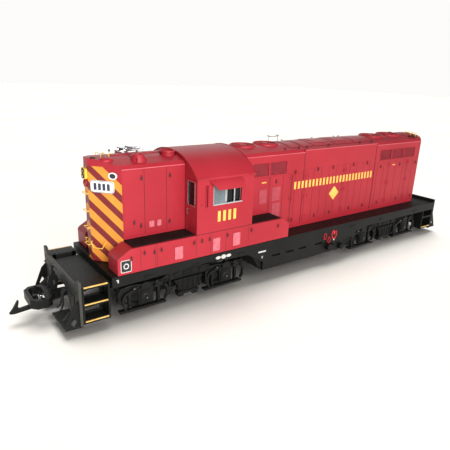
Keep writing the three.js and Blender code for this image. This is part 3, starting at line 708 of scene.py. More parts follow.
# Tread plates: thin non-slip black plastic sheets glued on top of the side boxes, with a fine raised
# lozenge pattern and a few round filler lids.
# Grit in the sheet kills the shine; the grit is drawn coarser than real so that it shows.
tread_black = surface("gritty_black_tread", "#120D0C", "#1A1513", 9, 0.7, 0.05, (0.55, 0.7),
                      {"Specular IOR Level": 0.15})
keep(["tread_front_left", "tread_front_right", "tread_rear_left", "tread_rear_right"], tread_black, 0.2)
studs = bmesh.new()
for side in (1, -1):
    for x0, x1 in ((160, 223), (46, 85)):
        for i in range(int((x1 - x0) / 4)):
            for j in range(5):
                x, y = x0 + 2 + 4 * i, side * (33.5 + 3.9 * j)
                lean = 0.9 if (i + j) % 2 else -0.9
                prism(studs, [(x - 1.1, y - lean), (x - 0.8, y - lean - 0.4), (x + 1.1, y + lean),
                              (x + 0.8, y + lean + 0.4)], "z", 75.2, 75.55)
    for x, y in ((212.0, 47.0), (189.0, 42.0), (176.0, 40.0)):
        turned(studs, [(1.0, 75.2), (1.0, 75.9), (0.5, 76.0), (0.5, 75.6), (0, 75.6)], "z",
               (x, side * y, 0), 14)
fit(finished("tread_studs", studs, tread_black), BODY, "tread_plastic")

# Cab: a crimson ABS shell standing on the side boxes, its arched roof a separate moulding snapped over
# the walls. Short rain gutters run over each end of the side.
keep(["cab_shell", "cab_roof"], crimson, 0.3)
trim = bmesh.new()
for side in (1, -1):
    for x0, x1 in ((143.6, 157.7), (86.4, 93.0)):
        lip = [(side * 52.4, 129.2), (side * 54.3, 129.2), (side * 54.3, 130.6), (side * 53.9, 130.6),
               (side * 53.9, 129.7), (side * 52.4, 129.7)]
        prism(trim, lip, "x", x0, x1)
    block(trim, (144.2, 145.0), (side * 52.5, side * 53.5), (101.0, 123.8))
    block(trim, (146.4, 147.2), (side * 52.5, side * 53.5), (101.0, 123.8))
    turned(trim, outward([(0, 0), (0.8, 0.2), (0.8, 1.0), (0, 1.2)], side), "y",
           (151.4, side * 52.5, 104.5), 12)
for x in (86.2, 156.9):
    arch = [(52.9, 130.7), (49, 134.6), (44.5, 138.6), (39, 142.6), (33, 146), (26, 148.9), (18, 151),
            (10, 152.1), (0, 152.5)]
    arch = arch + [(-y, z) for y, z in arch[-2::-1]]
    for (y0, z0), (y1, z1) in zip(arch, arch[1:]):
        prism(trim, [(y0, z0), (y0, z0 + 0.45), (y1, z1 + 0.45), (y1, z1)], "x", x, x + 1.0)
fit(finished("cab_trim", trim, crimson, 0.08), BODY, "body_plastic")

# Cab marks: plain yellow upright blocks printed below the side window in place of a road number, and a
# plain lozenge with a row of blocks along the hood.
# Printed yellow keeps a satin face on the crimson and covers it fully.
yellow_print = surface("printed_yellow", "#F0AE45", "#F6BC5A", 10, 0.4, 0.004, (0.4, 0.5))
for hand, side in HANDS:
    marks = bmesh.new()
    for x in (130.5, 124.0, 117.5, 111.0):
        prism(marks, [(x + a, 90.2 + b) for a, b in lozenge(1.7, 5.6, 0.6, 2)], "y",
              side * (SILL_Y - 0.05), side * (SILL_Y + 0.1))
    face = HOOD_Y + SKIN
    for k in range(24):
        x = 5.0 - 6.2 * k
        prism(marks, [(x - 1.6, 98.6), (x + 1.6, 98.6), (x + 1.6, 107.4), (x - 1.6, 107.4)], "y",
              side * (face - 0.6), side * (face + 0.1))
    prism(marks, [(-74.5, 85.5), (-65.5, 76.5), (-56.5, 85.5), (-65.5, 94.5)], "y",
          side * (face - 0.6), side * (face + 0.1))
    for x in (54.2, -187.5):
        block(marks, (x - 3.4, x + 3.4), (side * (face - 0.6), side * (face + 0.1)), (111.2, 112.4))
    fit(finished("side_marks_" + hand, marks, yellow_print), BODY, "body_plastic")

# Cab windows: sliding sashes of bright metal foil round grey acrylic, near-black panes in the end walls,
# and a black liner that hides the shell. The sash runs in a groove inside the wall.
# Foil mirrors the room in soft streaks. The pale grey-blue of the fixed panes is a painted reflection of
# the room, and the near-black of the other panes is painted shade that, with the card behind them, closes off
# the view inside.
bright_foil = surface("bright_aluminium_foil", "#C4C7CB", "#DCDEE1", 6, 0.3, 0.006, (0.22, 0.34),
                      {"Metallic": 1.0})
grey_acrylic = surface("reflection_grey_acrylic", "#3C484D", "#6E7D83", 16, 0.5, 0.004, (0.06, 0.12),
                       {"Coat Weight": 0.5})
shade_black_acrylic = surface("shade_black_acrylic", "#08090A", "#101214", 10, 0.5, 0.004, (0.12, 0.2),
                       {"Specular IOR Level": 0.25})
liner_black = surface("matt_black_card", "#060606", "#0C0C0C", 12, 0.8, 0.01, (0.8, 0.9))


def sash_ring(mesh, x0, x1, z0, z1, wide, y0, y1):
    """A four-sided window frame, `wide` mm across each side."""
    for a, b, c, d in ((x0, x1, z0, z0 + wide), (x0, x1, z1 - wide, z1),
                       (x0, x0 + wide, z0 + wide, z1 - wide), (x1 - wide, x1, z0 + wide, z1 - wide)):
        block(mesh, (a, b), (y0, y1), (c, d))


for hand, side in HANDS:
    sash, pane, fixed, glass = bmesh.new(), bmesh.new(), bmesh.new(), bmesh.new()
    sash_ring(sash, 101.6, 121.2, 101.6, 125.4, 1.5, side * 49.2, side * 50.2)
    block(sash, (119.9, 120.6), (side * 50.2, side * 50.5), (110, 116))
    block(pane, (102.9, 119.9), (side * 49.5, side * 49.8), (102.9, 124.1))
    sash_ring(fixed, 122.2, 138.6, 102.4, 124.6, 1.3, side * 50.7, side * 52.3)
    block(fixed, (102.4, 138.6), (side * 51.6, side * 53.4), (102.2, 103.5))
    block(fixed, (111.0, 112.3), (side * 50.9, side * 51.9), (103.4, 124.2))
    block(glass, (123.4, 137.6), (side * 51.2, side * 51.6), (103.4, 124.2))
    fit(finished("sliding_sash_" + hand, sash, bright_foil, 0.15), "sash_" + hand, "sash_metallic",
        "window_sash_" + hand)
    fit(finished("sliding_pane_" + hand, pane, shade_black_acrylic), "sash_" + hand, "sash_metallic")
    fit(finished("fixed_sash_" + hand, fixed, bright_foil, 0.15), BODY, "sash_metallic")
    fit(finished("fixed_pane_" + hand, glass, grey_acrylic), BODY, "sash_metallic")
ends, end_rims = bmesh.new(), bmesh.new()
for x, side in ((155.2, -1), (88.4, 1)):
    block(ends, (x, x + 0.4), (side * 33.2, side * 49.8), (99.7, 128.7))
    out = 157.3 if x > 120 else 86.8
    sash_ring_x = ((33.5, 49.5, 100.0, 101.2), (33.5, 49.5, 127.2, 128.4), (33.5, 34.7, 101, 127.4),
                   (48.3, 49.5, 101, 127.4))
    for a, b, c, d in sash_ring_x:
        block(end_rims, (min(x, out), max(x, out)), (side * a, side * b), (c, d))
fit(finished("cab_end_panes", ends, shade_black_acrylic), BODY, "body_plastic")
fit(finished("cab_end_frames", end_rims, bright_foil, 0.1), BODY, "sash_metallic")

# Cab inside: a black floor, a partition, a control stand and a seat on a post at each side. They are
# plain black push-fit mouldings, seen only through the panes and the open doors.
inside = bmesh.new()
block(inside, (90, 154), (-30, 30), (77, 79))
block(inside, (118, 121), (-29, 29), (79, 128))
prism(inside, [(128, 79), (140, 79), (140, 104), (134, 110), (128, 110)], "y", 18, 32)
for side in (1, -1):
    turned(inside, [(0, 79), (4, 79), (1.4, 81), (1.4, 92), (0, 92)], "z", (108, side * 36, 0), 14)
    prism(inside, [(102, 92), (114, 92), (114.5, 95), (104.5, 96), (102, 112), (99.5, 112)], "y",
          side * 30.5, side * 41.5)
    block(inside, (88, 90), (side * 31, side * 50), (76, 99))
fit(finished("cab_fittings", inside, liner_black, 0.4), BODY, "body_plastic")

# Cab doors: one leaf in the front wall on the left and one in the rear wall on the right, hung on a pin
# at the outer edge, with a dark pane, a bright outer frame and a small handle.
ENDS = (("front", 1), ("rear", -1))
for name, sign in ENDS:
    def flip(x, y):
        """The rear door is the front one turned half round the cab's middle."""
        return (x, y) if sign > 0 else (244.1 - x, -y)

    def slab(mesh, x, y, z):
        """A block of the door, given for the front one."""
        (x0, y0), (x1, y1) = flip(x[0], y[0]), flip(x[1], y[1])
        block(mesh, sorted((x0, x1)), sorted((y0, y1)), z)
    leaf, rim, pane, handle = bmesh.new(), bmesh.new(), bmesh.new(), bmesh.new()
    for y, z in (((33.9, 35.2), (76.9, 128)), ((47.8, 49.1), (76.9, 128)), ((35.2, 47.8), (76.9, 102.5)),
                 ((35.2, 47.8), (126.6, 128))):
        slab(leaf, (155.3, 156.7), y, z)
    slab(leaf, (156.7, 157.0), (36.4, 46.6), (80.5, 96.5))
    for y, z in (((34.6, 48.4), (101.9, 103)), ((34.6, 48.4), (126.2, 127.2)), ((34.6, 35.7), (102.5, 126.8)),
                 ((47.4, 48.4), (102.5, 126.8))):
        slab(rim, (156.4, 157.2), y, z)
    slab(pane, (155.7, 156.1), (35.1, 47.9), (102.4, 126.7))
    (hx, hy) = flip(156.9, 36.2)
    wire(handle, [(hx, hy, 93), (hx + sign * 1.6, hy, 93), (hx + sign * 1.6, hy, 98), (hx, hy, 98)], 0.35)
    body = "door_" + name
    fit(finished("cab_door_leaf_" + name, leaf, crimson, 0.15), body, "body_plastic", "cab_door_" + name)
    fit(finished("cab_door_frame_" + name, rim, bright_foil, 0.1), body, "body_plastic")
    # The door pane is near-black, painted shade for the dark cab behind it.
    fit(finished("cab_door_pane_" + name, pane, shade_black_acrylic), body, "body_plastic")
    fit(finished("cab_door_handle_" + name, handle, bright_foil), body, "body_plastic")

# Awnings: thin crimson plastic blades over the side windows, bowed a little so that they throw water
# off. Each is sprayed with the shell and glued under the gutter.
for hand, side in HANDS:
    blade = bmesh.new()
    steps = 6
    rows = []
    for k in range(steps + 1):
        s = k / steps
        y = 52.7 + 6.7 * s
        z = 128.4 - 8.8 * s + 1.1 * math.sin(math.pi * s)
        front = 143 if y < 54 else 143 - 7 * (y - 54) / 5.4
        rows.append([blade.verts.new((x, side * (y - d), z - e)) for d, e in ((0, 0), (0.35, 0.75))
                     for x in (103, front)])
    for one, two in zip(rows, rows[1:]):
        for a, b in ((0, 1), (1, 3), (3, 2), (2, 0)):
            blade.faces.new((one[a], one[b], two[b], two[a]))
    for row in (rows[0], rows[-1]):
        blade.faces.new((row[0], row[1], row[3], row[2]))
    fit(finished("awning_blade_" + hand, blade, crimson, 0.12, 50), BODY, "body_plastic", "awning_" + hand)

# Roof fans: crimson drums let into the hood roofs, each with a dished rim, radial bars, rings and a
# dark bladed rotor that shows through.
FANS = [(64, 15), (30, 15), (-167, 17), (-206, 17)]
for number, (x, r) in enumerate(FANS, 1):
    drum, bars, rotor = bmesh.new(), bmesh.new(), bmesh.new()
    turned(drum, [(0, 146.6), (r, 146.6), (r, 150.2), (r - 0.5, 151.1), (r - 1.3, 151.5), (r - 2.1, 151.2),
                  (r - 2.4, 150.4), (r - 2.4, 147.2), (0, 147.2)], "z", (x, 0, 0), 56)
    turned(drum, [(0, 149.8), (3.4, 149.8), (3.4, 151.0), (2.6, 151.3), (0, 151.4)], "z", (x, 0, 0), 24)
    for ring_r in [r - 2.4 - 2.6 * k for k in range(1, 5) if r - 2.4 - 2.6 * k > 3.6]:
        turned(bars, [(ring_r - 0.25, 150.3), (ring_r + 0.25, 150.3), (ring_r + 0.25, 150.9),
                      (ring_r - 0.25, 150.9), (ring_r - 0.25, 150.3)], "z", (x, 0, 0), 40)
    for k in range(18):
        a = 2 * math.pi * k / 18
        u, v = Vector((math.cos(a), math.sin(a))), Vector((-math.sin(a), math.cos(a)))
        corners = [u * 3 - v * 0.22, u * (r - 2.2) - v * 0.22, u * (r - 2.2) + v * 0.22, u * 3 + v * 0.22]
        prism(bars, [(x + c.x, c.y) for c in corners], "z", 150.0, 150.5)
    for k in range(6):
        a = 2 * math.pi * k / 6
        tips = [(3, a), (r - 3.4, a + 0.12), (r - 3.4, a + 0.62), (3, a + 0.4)]
        prism(rotor, [(x + d * math.cos(b), d * math.sin(b)) for d, b in tips], "z", 148.4, 148.9)
    turned(rotor, [(0, 147.4), (r - 2.6, 147.4), (r - 2.6, 147.7), (0, 147.7)], "z", (x, 0, 0), 40)
    fit(finished(f"fan_drum_{number}", drum, crimson), BODY, "body_plastic", f"roof_fan_{number}")
    fit(finished(f"fan_guard_{number}", bars, crimson), BODY, "body_plastic")
    fit(finished(f"fan_rotor_{number}", rotor, black_pressed), BODY, "body_plastic")

# Exhaust stack and vents on the short hood roof: a lipped crimson pipe, a conical vent, a low domed
# hatch and a small dark filler cap.
stack, soot = bmesh.new(), bmesh.new()
turned(stack, [(7.2, 146.0), (7.2, 151.0), (7.8, 151.6), (7.8, 152.6), (7.4, 153.2), (6.8, 153.3),
               (6.3, 152.7), (6.3, 147.8), (7.2, 146.0)], "z", (166, 10, 0), 48)
turned(soot, [(6.4, 149.0), (0, 149.0)], "z", (166, 10, 0), 48)
for k in range(5):
    block(soot, (161.2 + 2.4 * k - 0.3, 161.2 + 2.4 * k + 0.3), (10 - 5.2, 10 + 5.2), (150.2, 151.0))
fit(finished("stack_pipe", stack, crimson), BODY, "body_plastic", "exhaust_stack")
fit(finished("stack_soot", soot, black_pressed), BODY, "body_plastic")
roof_bits, cap = bmesh.new(), bmesh.new()
turned(roof_bits, [(8.0, 145.6), (8.0, 147.2), (5.6, 152.4), (5.3, 152.9), (4.4, 152.9),
                   (4.0, 151.6), (0, 151.6)], "z", (201.5, 18.0, 0), 36)
turned(roof_bits, [(6.6, 146.6), (6.6, 149.0), (6.0, 149.9), (3.8, 150.9), (0, 151.3)], "z",
       (231.0, 12.5, 0), 36)
block(roof_bits, (205.6, 206.2), (-26, 26), (145, 150.3))
prism(roof_bits, [(-3, 149.6), (3, 149.6), (3, 150.9), (-3, 150.9)], "x", 158.5, 222)
turned(cap, [(3.0, 148.6), (2.9, 149.8), (2.0, 150.9), (0, 151.4)], "z", (241.0, 6.0, 0), 24)
fit(finished("short_hood_roof_vents", roof_bits, crimson, 0.15), BODY, "body_plastic")
fit(finished("sand_filler_cap", cap, shade_crimson), BODY, "body_plastic")

# Roof hatches and lifting eyes on the long hood: shallow plates following the crown, with thin gaps,
# and small bent eyes along both shoulders.
hatches, eyes = bmesh.new(), bmesh.new()


def crown(y):
    """Height of the hood roof at y."""
    y = abs(y)
    if y <= 3:
        return 150.2
    return 150.2 - (y - 3) * 1.2 / 11.2 if y <= 14.2 else 149 - (y - 14.2) * 4 / 12.8


def hatch(mesh, x0, x1, half, tall):
    """A plate over the crown of the hood roof, reaching `half` mm to each side."""
    ys = [-half, -14.2, -3, 3, 14.2, half]
    outline = [(y, crown(y) - 0.4) for y in ys] + [(y, crown(y) + tall) for y in reversed(ys)]
    prism(mesh, outline, "x", x0, x1)


gaps = bmesh.new()
for x0, x1, half in ((-4, 9, 22), (-28, -11, 22), (-66, -31, 22), (-104, -69, 22),
                     (-141, -107, 22), (-255, -226, 18)):
    hatch(hatches, x0, x1, half, 0.45)
    for x in (x0 - 0.35, x1 + 0.35):
        hatch(gaps, x - 0.3, x + 0.3, half + 0.5, 0.1)
    for side in (1, -1):
        block(gaps, (x0, x1), (side * (half + 0.1), side * (half + 0.7)),
              (crown(half) - 1, crown(half) + 0.05))
for x0, x1 in ((-60, -38), (-98, -76)):
    hatch(hatches, x0, x1, 15.5, 0.9)
    hatch(gaps, x0 - 0.5, x0 - 0.1, 15.5, 0.55)
fit(finished("roof_hatch_gaps", gaps, seam_dark), BODY, "body_plastic")
for x, y in ((21, 25.5), (-1, 25.5), (-14, 25.5), (-52, 25.5), (-112, 25.5), (-137, 25.5), (-20, -25.5),
             (-75, -25.5), (-118, -25.5), (-128, -25.5), (-236, -25.5), (-236, 25.5)):
    z = crown(y) - 0.4
    wire(eyes, [(x - 0.9, y, z), (x - 0.9, y, z + 3.4), (x + 0.9, y, z + 3.4), (x + 0.9, y, z)], 0.42)
fit(finished("roof_hatches", hatches, crimson, 0.15), BODY, "body_plastic")
fit(finished("lifting_eyes", eyes, shade_crimson), BODY, "body_plastic")

# Horns and roof metalwork: a chrome-plated three-bell horn on a bar over the short hood, and a small
# plated aerial frame on the long hood behind the fans.
# Plating is a near mirror, so the bells show the pale room and a dark line of floor.
chrome_plate = surface("chrome_plated_brass", "#C9CCD0", "#E6E8EA", 5, 0.3, 0.004, (0.08, 0.18),
                       {"Metallic": 1.0})
horn = bmesh.new()
HORN_Y, HORN_Z = -9.0, 153.0
for x in (190, 201):
    turned(horn, [(1.6, 149.4), (1.6, 150.4), (0.8, 150.8), (0.8, HORN_Z - 0.2), (0, HORN_Z - 0.2)], "z",
           (x, HORN_Y, 0), 14)
    wire(horn, [(x, HORN_Y - 4.6, HORN_Z - 0.3), (x, HORN_Y + 4.6, HORN_Z - 0.3)], 0.7, 10)
for y, z, back, mouth in ((-4, 0, 184.2, 208.2), (4, 0, 185.2, 204.8), (0, 1.4, 187.2, 201.8)):
    profile = [(0, back), (1.0, back), (1.2, back + 0.6), (0.85, back + 1.4), (0.95, mouth - 7),
               (1.4, mouth - 3), (2.4, mouth - 0.4), (2.5, mouth), (2.1, mouth), (1.0, mouth - 2.4),
               (0, mouth - 2.4)]
    turned(horn, profile, "x", (0, HORN_Y + y, HORN_Z + z), 24)
fit(finished("chrome_horn", horn, chrome_plate), BODY, "horn_chrome", "horn")
aerial = bmesh.new()
for x in (-3, 12):
    wire(aerial, [(x, -15, 148.6), (x, -15, 155.6)], 0.4)
    turned(aerial, [(0, -1.8), (0.9, -1.6), (0.5, 0), (0.9, 1.6), (0, 1.8)], "y", (x, -15, 156.2), 12)
wire(aerial, [(-3, -15, 155.2), (12, -15, 155.2)], 0.4)
wire(aerial, [(5, -15, 155.2), (5, -10, 156.4)], 0.35)
fit(finished("roof_aerial", aerial, chrome_plate), BODY, "horn_chrome")
tail_bits, tail_wire = bmesh.new(), bmesh.new()
for x, y in ((-233, 20), (-241, 20), (-233, -20), (-241, -20)):
    block(tail_bits, (x - 2.4, x + 2.4), (y - 1.6, y + 1.6), (146.4, 149.6))
wire(tail_wire, [(-236, 18, 148), (-236, 18, 152.2), (-248, 18, 152.2), (-248, 18, 148)], 0.4)
fit(finished("tail_roof_blocks", tail_bits, shade_crimson, 0.3), BODY, "body_plastic")
fit(finished("tail_roof_wire", tail_wire, yellow_wire), BODY, "lamp_plastic")

# Inside the hood: a green laminate board with its parts soldered on, and a cast ballast block.
# Lacquer gives the laminate a smooth dark green shine; the iron is rough and dull from the mould.
green_laminate = surface("green_lacquered_laminate", "#17492D", "#20603B", 9, 0.4, 0.01, (0.35, 0.45))
cast_iron = surface("grey_cast_iron", "#3C3C3B", "#4E4D4B", 5, 0.8, 0.06, (0.6, 0.75), {"Metallic": 0.6})
keep(["circuit_board"], green_laminate, 0.1)
keep(["ballast_weight"], cast_iron, 0.8)
chips, leads = bmesh.new(), bmesh.new()
for x, y, w, d, h in ((-38, 4, 12, 8, 2.4), (-18, -8, 9, 9, 1.8), (4, 6, 16, 7, 2.2), (26, -6, 8, 12, 7)):
    block(chips, (x - w / 2, x + w / 2), (y - d / 2, y + d / 2), (59.6, 59.6 + h))
    for k in range(int(w)):
        for s in (-1, 1):
            px = x - w / 2 + 0.5 + k
            block(leads, (px - 0.2, px + 0.2), (y + s * d / 2, y + s * (d / 2 + 0.9)), (59.6, 60.0))
for x, y in ((-46, -14), (-28, 14), (14, -13), (33, 13)):
    turned(chips, [(0, 59.6), (3, 59.6), (3, 66), (2.6, 66.6), (0, 66.6)], "z", (x, y, 0), 20)
fit(finished("board_parts", chips, black_pressed, 0.15), BODY, "board_laminate")
fit(finished("board_leads", leads, bright_foil), BODY, "board_laminate")

# Pilots: black styrene end plates with footboards, rows of rivet heads, a lift bar across the face,
# side brackets pierced with a diamond, and rubber air hoses hanging beside the drawbar.
# The front plate is drawn in the grey of painted sheen; the rear one stays black.
keep(["pilot_front"], sheen_styrene, 0.4)
keep(["pilot_rear"], black_styrene, 0.4)
# Rubber is dull and slightly bloomed, a softer black than the styrene round it.
hose_rubber = surface("moulded_hose_rubber", "#0D0D0E", "#161617", 5, 0.5, 0.02, (0.55, 0.7))
for end, sign in ENDS:
    face = 276.6

    def at_end(points):
        """Turns points given for the front end round to the rear end."""
        return [(sign * x, sign * y, z) for x, y, z in points]
    irons, hoses = bmesh.new(), bmesh.new()
    for y in range(-48, 49, 8):
        if abs(y) > 18:
            for z in (14 if abs(y) > 28 else 34, 42.6):
                turned(irons, outward([(0, 0), (0.7, 0), (0.6, 0.4), (0, 0.6)], sign), "x",
                       (sign * face, sign * y, z), 8)
    wire(irons, at_end([(face, -46, 38), (face + 2.2, -46, 38), (face + 2.2, -12, 39.5),
                        (face + 3.4, -6, 36), (face + 3.4, 0, 36), (face + 2.2, 8, 39.5),
                        (face + 2.2, 46, 38), (face + 2.2, 46, 30)]), 0.6)
    for side in (1, -1):
        across = sorted((sign * side * 48.9, sign * side * 50.1))
        outer = [(face - 1, 8.2), (290, 8.2), (288.6, 13), (281.5, 30), (face - 1, 36)]
        cut = [(278.5, 14), (281.6, 9.9), (284.7, 14), (281.6, 20)]
        for i, near in enumerate(((1, 0), (2, 1), (3, 2), (3,), (0, 3))):
            facet = [outer[i], outer[(i + 1) % 5]] + [cut[k] for k in near]
            prism(irons, [(sign * x, z) for x, z in facet], "y", *across)
        for k, (y, drop) in enumerate(((15.5, 0), (19.5, 3))):
            wire(hoses, at_end([(face - 1, side * y, 33), (face + 2.5, side * y, 33),
                                (face + 4.4, side * y, 30), (face + 4.8, side * y, 22 - drop),
                                (face + 6.6, side * (y - 1), 16 - drop),
                                (face + 9.0, side * (y - 2), 14 - drop)]), 1.0, 10)
    fit(finished("pilot_ironwork_" + end, irons, black_styrene), BODY, "frame_plastic")
    fit(finished("air_hoses_" + end, hoses, hose_rubber), BODY, "frame_plastic")
# The platform ribs take the same grey of painted sheen.
ribs = bmesh.new()
for k in range(16):
    block(ribs, (248.6 + 1.6 * k, 249.2 + 1.6 * k), (-31.8, 31.8), (43.3, 43.85))
fit(finished("platform_ribs", ribs, sheen_styrene, 0.12), BODY, "frame_plastic")

# Step wells: black mouldings with slotted risers between the treads, and a gold line painted along
# the front edge of each tread.
# Metallic paint glints on the tread edges without a mirror's sharpness.
gold_paint = surface("gold_paint_line", "#D9A850", "#EFCB7A", 5, 0.4, 0.008, (0.3, 0.42), {"Metallic": 0.25})


def span(sign, near, far):
    """Two places that far out on one side of the middle, lowest first."""
    return sorted((sign * near, sign * far))


for end, sign in ENDS:
    for hand, side in HANDS:
        top = 46.8 if sign > 0 else 39.1
        treads = (13.7, 30.3, 46.8) if sign > 0 else (13.7, 30.3)
        well, gold = bmesh.new(), bmesh.new()
        for x0, x1 in ((248.5, 250.1), (272.1, 273.7)):
            cheek = [(36, 11), (52.3, 11), (52.3, top), (36, top)]
            prism(well, [(side * y, z) for y, z in cheek], "x", *span(sign, x0, x1))
        for z0, z1 in ((12.3, 15.6), (20.4, 31.6), (36.6, top)):
            block(well, span(sign, 250.1, 272.1), span(side, 36, 37.4), (z0, z1))
        for x0, x1 in ((250.1, 253), (269.4, 272.1)):
            block(well, span(sign, x0, x1), span(side, 36, 37.4), (15.6, top))
        for z in treads:
            block(well, span(sign, 250.1, 272.1), span(side, 37.4, 52.3), (z - 1.4, z))
            block(well, span(sign, 250.1, 272.1), span(side, 51.5, 52.3), (z - 2.6, z - 1.4))
            for k in range(5):
                x = 252.6 + 3.9 * k
                block(well, span(sign, x, x + 1.9), span(side, 39.5, 50), (z, z + 0.3))
            if sign > 0 or z < 20:
                block(gold, span(sign, 250.3, 272.0), span(side, 51.2, 52.45), (z - 0.9, z + 0.15))
        name = f"{end}_{hand}"
        fit(finished("step_well_" + name, well, black_styrene, 0.2), BODY, "frame_plastic", "steps_" + name)
        fit(finished("step_edges_" + name, gold, gold_paint, 0.1), BODY, "frame_plastic")

# Couplers: black styrene loops on a swinging drawbar, each with an upright lifting plate pierced with a
# square, and a sprung hook on a steel pin.
keep(["coupler_front", "coupler_rear", "coupler_hook_front", "coupler_hook_rear"], black_styrene, 0.55)
# Plain drawn steel: a bright narrow streak along each pin.
pin_steel = surface("bright_steel_pin", "#A9ABAD", "#C6C8CA", 4, 0.3, 0.006, (0.22, 0.32), {"Metallic": 1.0})
for end, sign in ENDS:
    plate, pin, coil = bmesh.new(), bmesh.new(), bmesh.new()
    outer = [(279.2, 34.4), (281.6, 41.6), (284.4, 43.6), (287, 41.6), (289.0, 34.4), (286.6, 27.4),
             (283, 24.6), (280.6, 27.4)]
    inner = [(281.9, 34.4), (282.6, 36.6), (284.2, 37.2), (285.8, 36.6), (286.4, 34.4), (285.6, 32),
             (284.1, 31.4), (282.6, 32)]
    for facet in facets(outer, inner):
        prism(plate, [(sign * a, b) for a, b in facet], "y", -1.2, 1.2)
    neck = ((282.4, 42), (285.6, 42), (284.6, 50), (282.8, 50.6))
    prism(plate, [(sign * a, b) for a, b in neck], "y", -1.0, 1.0)
    turned(plate, [(0, -2.2), (1.7, -2.2), (1.7, 2.2), (0, 2.2)], "y", (sign * 283.6, 0, 50.6), 14)
    block(plate, sorted((sign * 279.6, sign * 287.6)), (-4.2, 4.2), (24.8, 26.4))
    for y in (-11.5, 11.5):
        turned(plate, [(0, 18.2), (1.6, 18.2), (1.6, 27.4), (1.0, 28), (0, 28)], "z",
               (sign * 297, y * 1.27, 0), 12)
    turned(pin, [(0, -15.6), (1.0, -15.6), (1.0, 15.6), (0, 15.6)], "y", (sign * 301, 0, 23), 12)
    loops = 7
    wire(coil, [(sign * (290.5 + 5.2 * k / 48), 2.1 * math.sin(2 * math.pi * loops * k / 48),
                 21.2 + 2.1 * math.cos(2 * math.pi * loops * k / 48)) for k in range(49)], 0.32, 6)
    body = "coupler_" + end
    fit(finished("coupler_lift_plate_" + end, plate, black_styrene, 0.2), body, "coupler_plastic")
    fit(finished("coupler_pin_" + end, pin, pin_steel), body, "coupler_plastic")
    fit(finished("coupler_spring_" + end, coil, pin_steel), body, "coupler_plastic")

# Trucks: a casing with its lid holds motor, worm shaft and axles, and a sprung-looking side frame
# is screwed to each face. The side frames are the finest black mouldings on the engine.
TRUCK_X, HALF_BASE, AXLE_Z = 163.0, 47.3, 19.358
# The wheels are turned and chemically blackened, the motor cans zinc plated, and the worms bare brass.
turned_steel = surface("blackened_turned_steel", "#4A4A4B", "#66666A", 6, 0.4, 0.01, (0.3, 0.42),
                       {"Metallic": 0.9})
zinc_can = surface("zinc_plated_can", "#A4A6A6", "#BFC1C1", 8, 0.4, 0.008, (0.3, 0.42), {"Metallic": 1.0})
brass = surface("turned_brass", "#B08A3C", "#C9A252", 4, 0.3, 0.008, (0.25, 0.36), {"Metallic": 1.0})


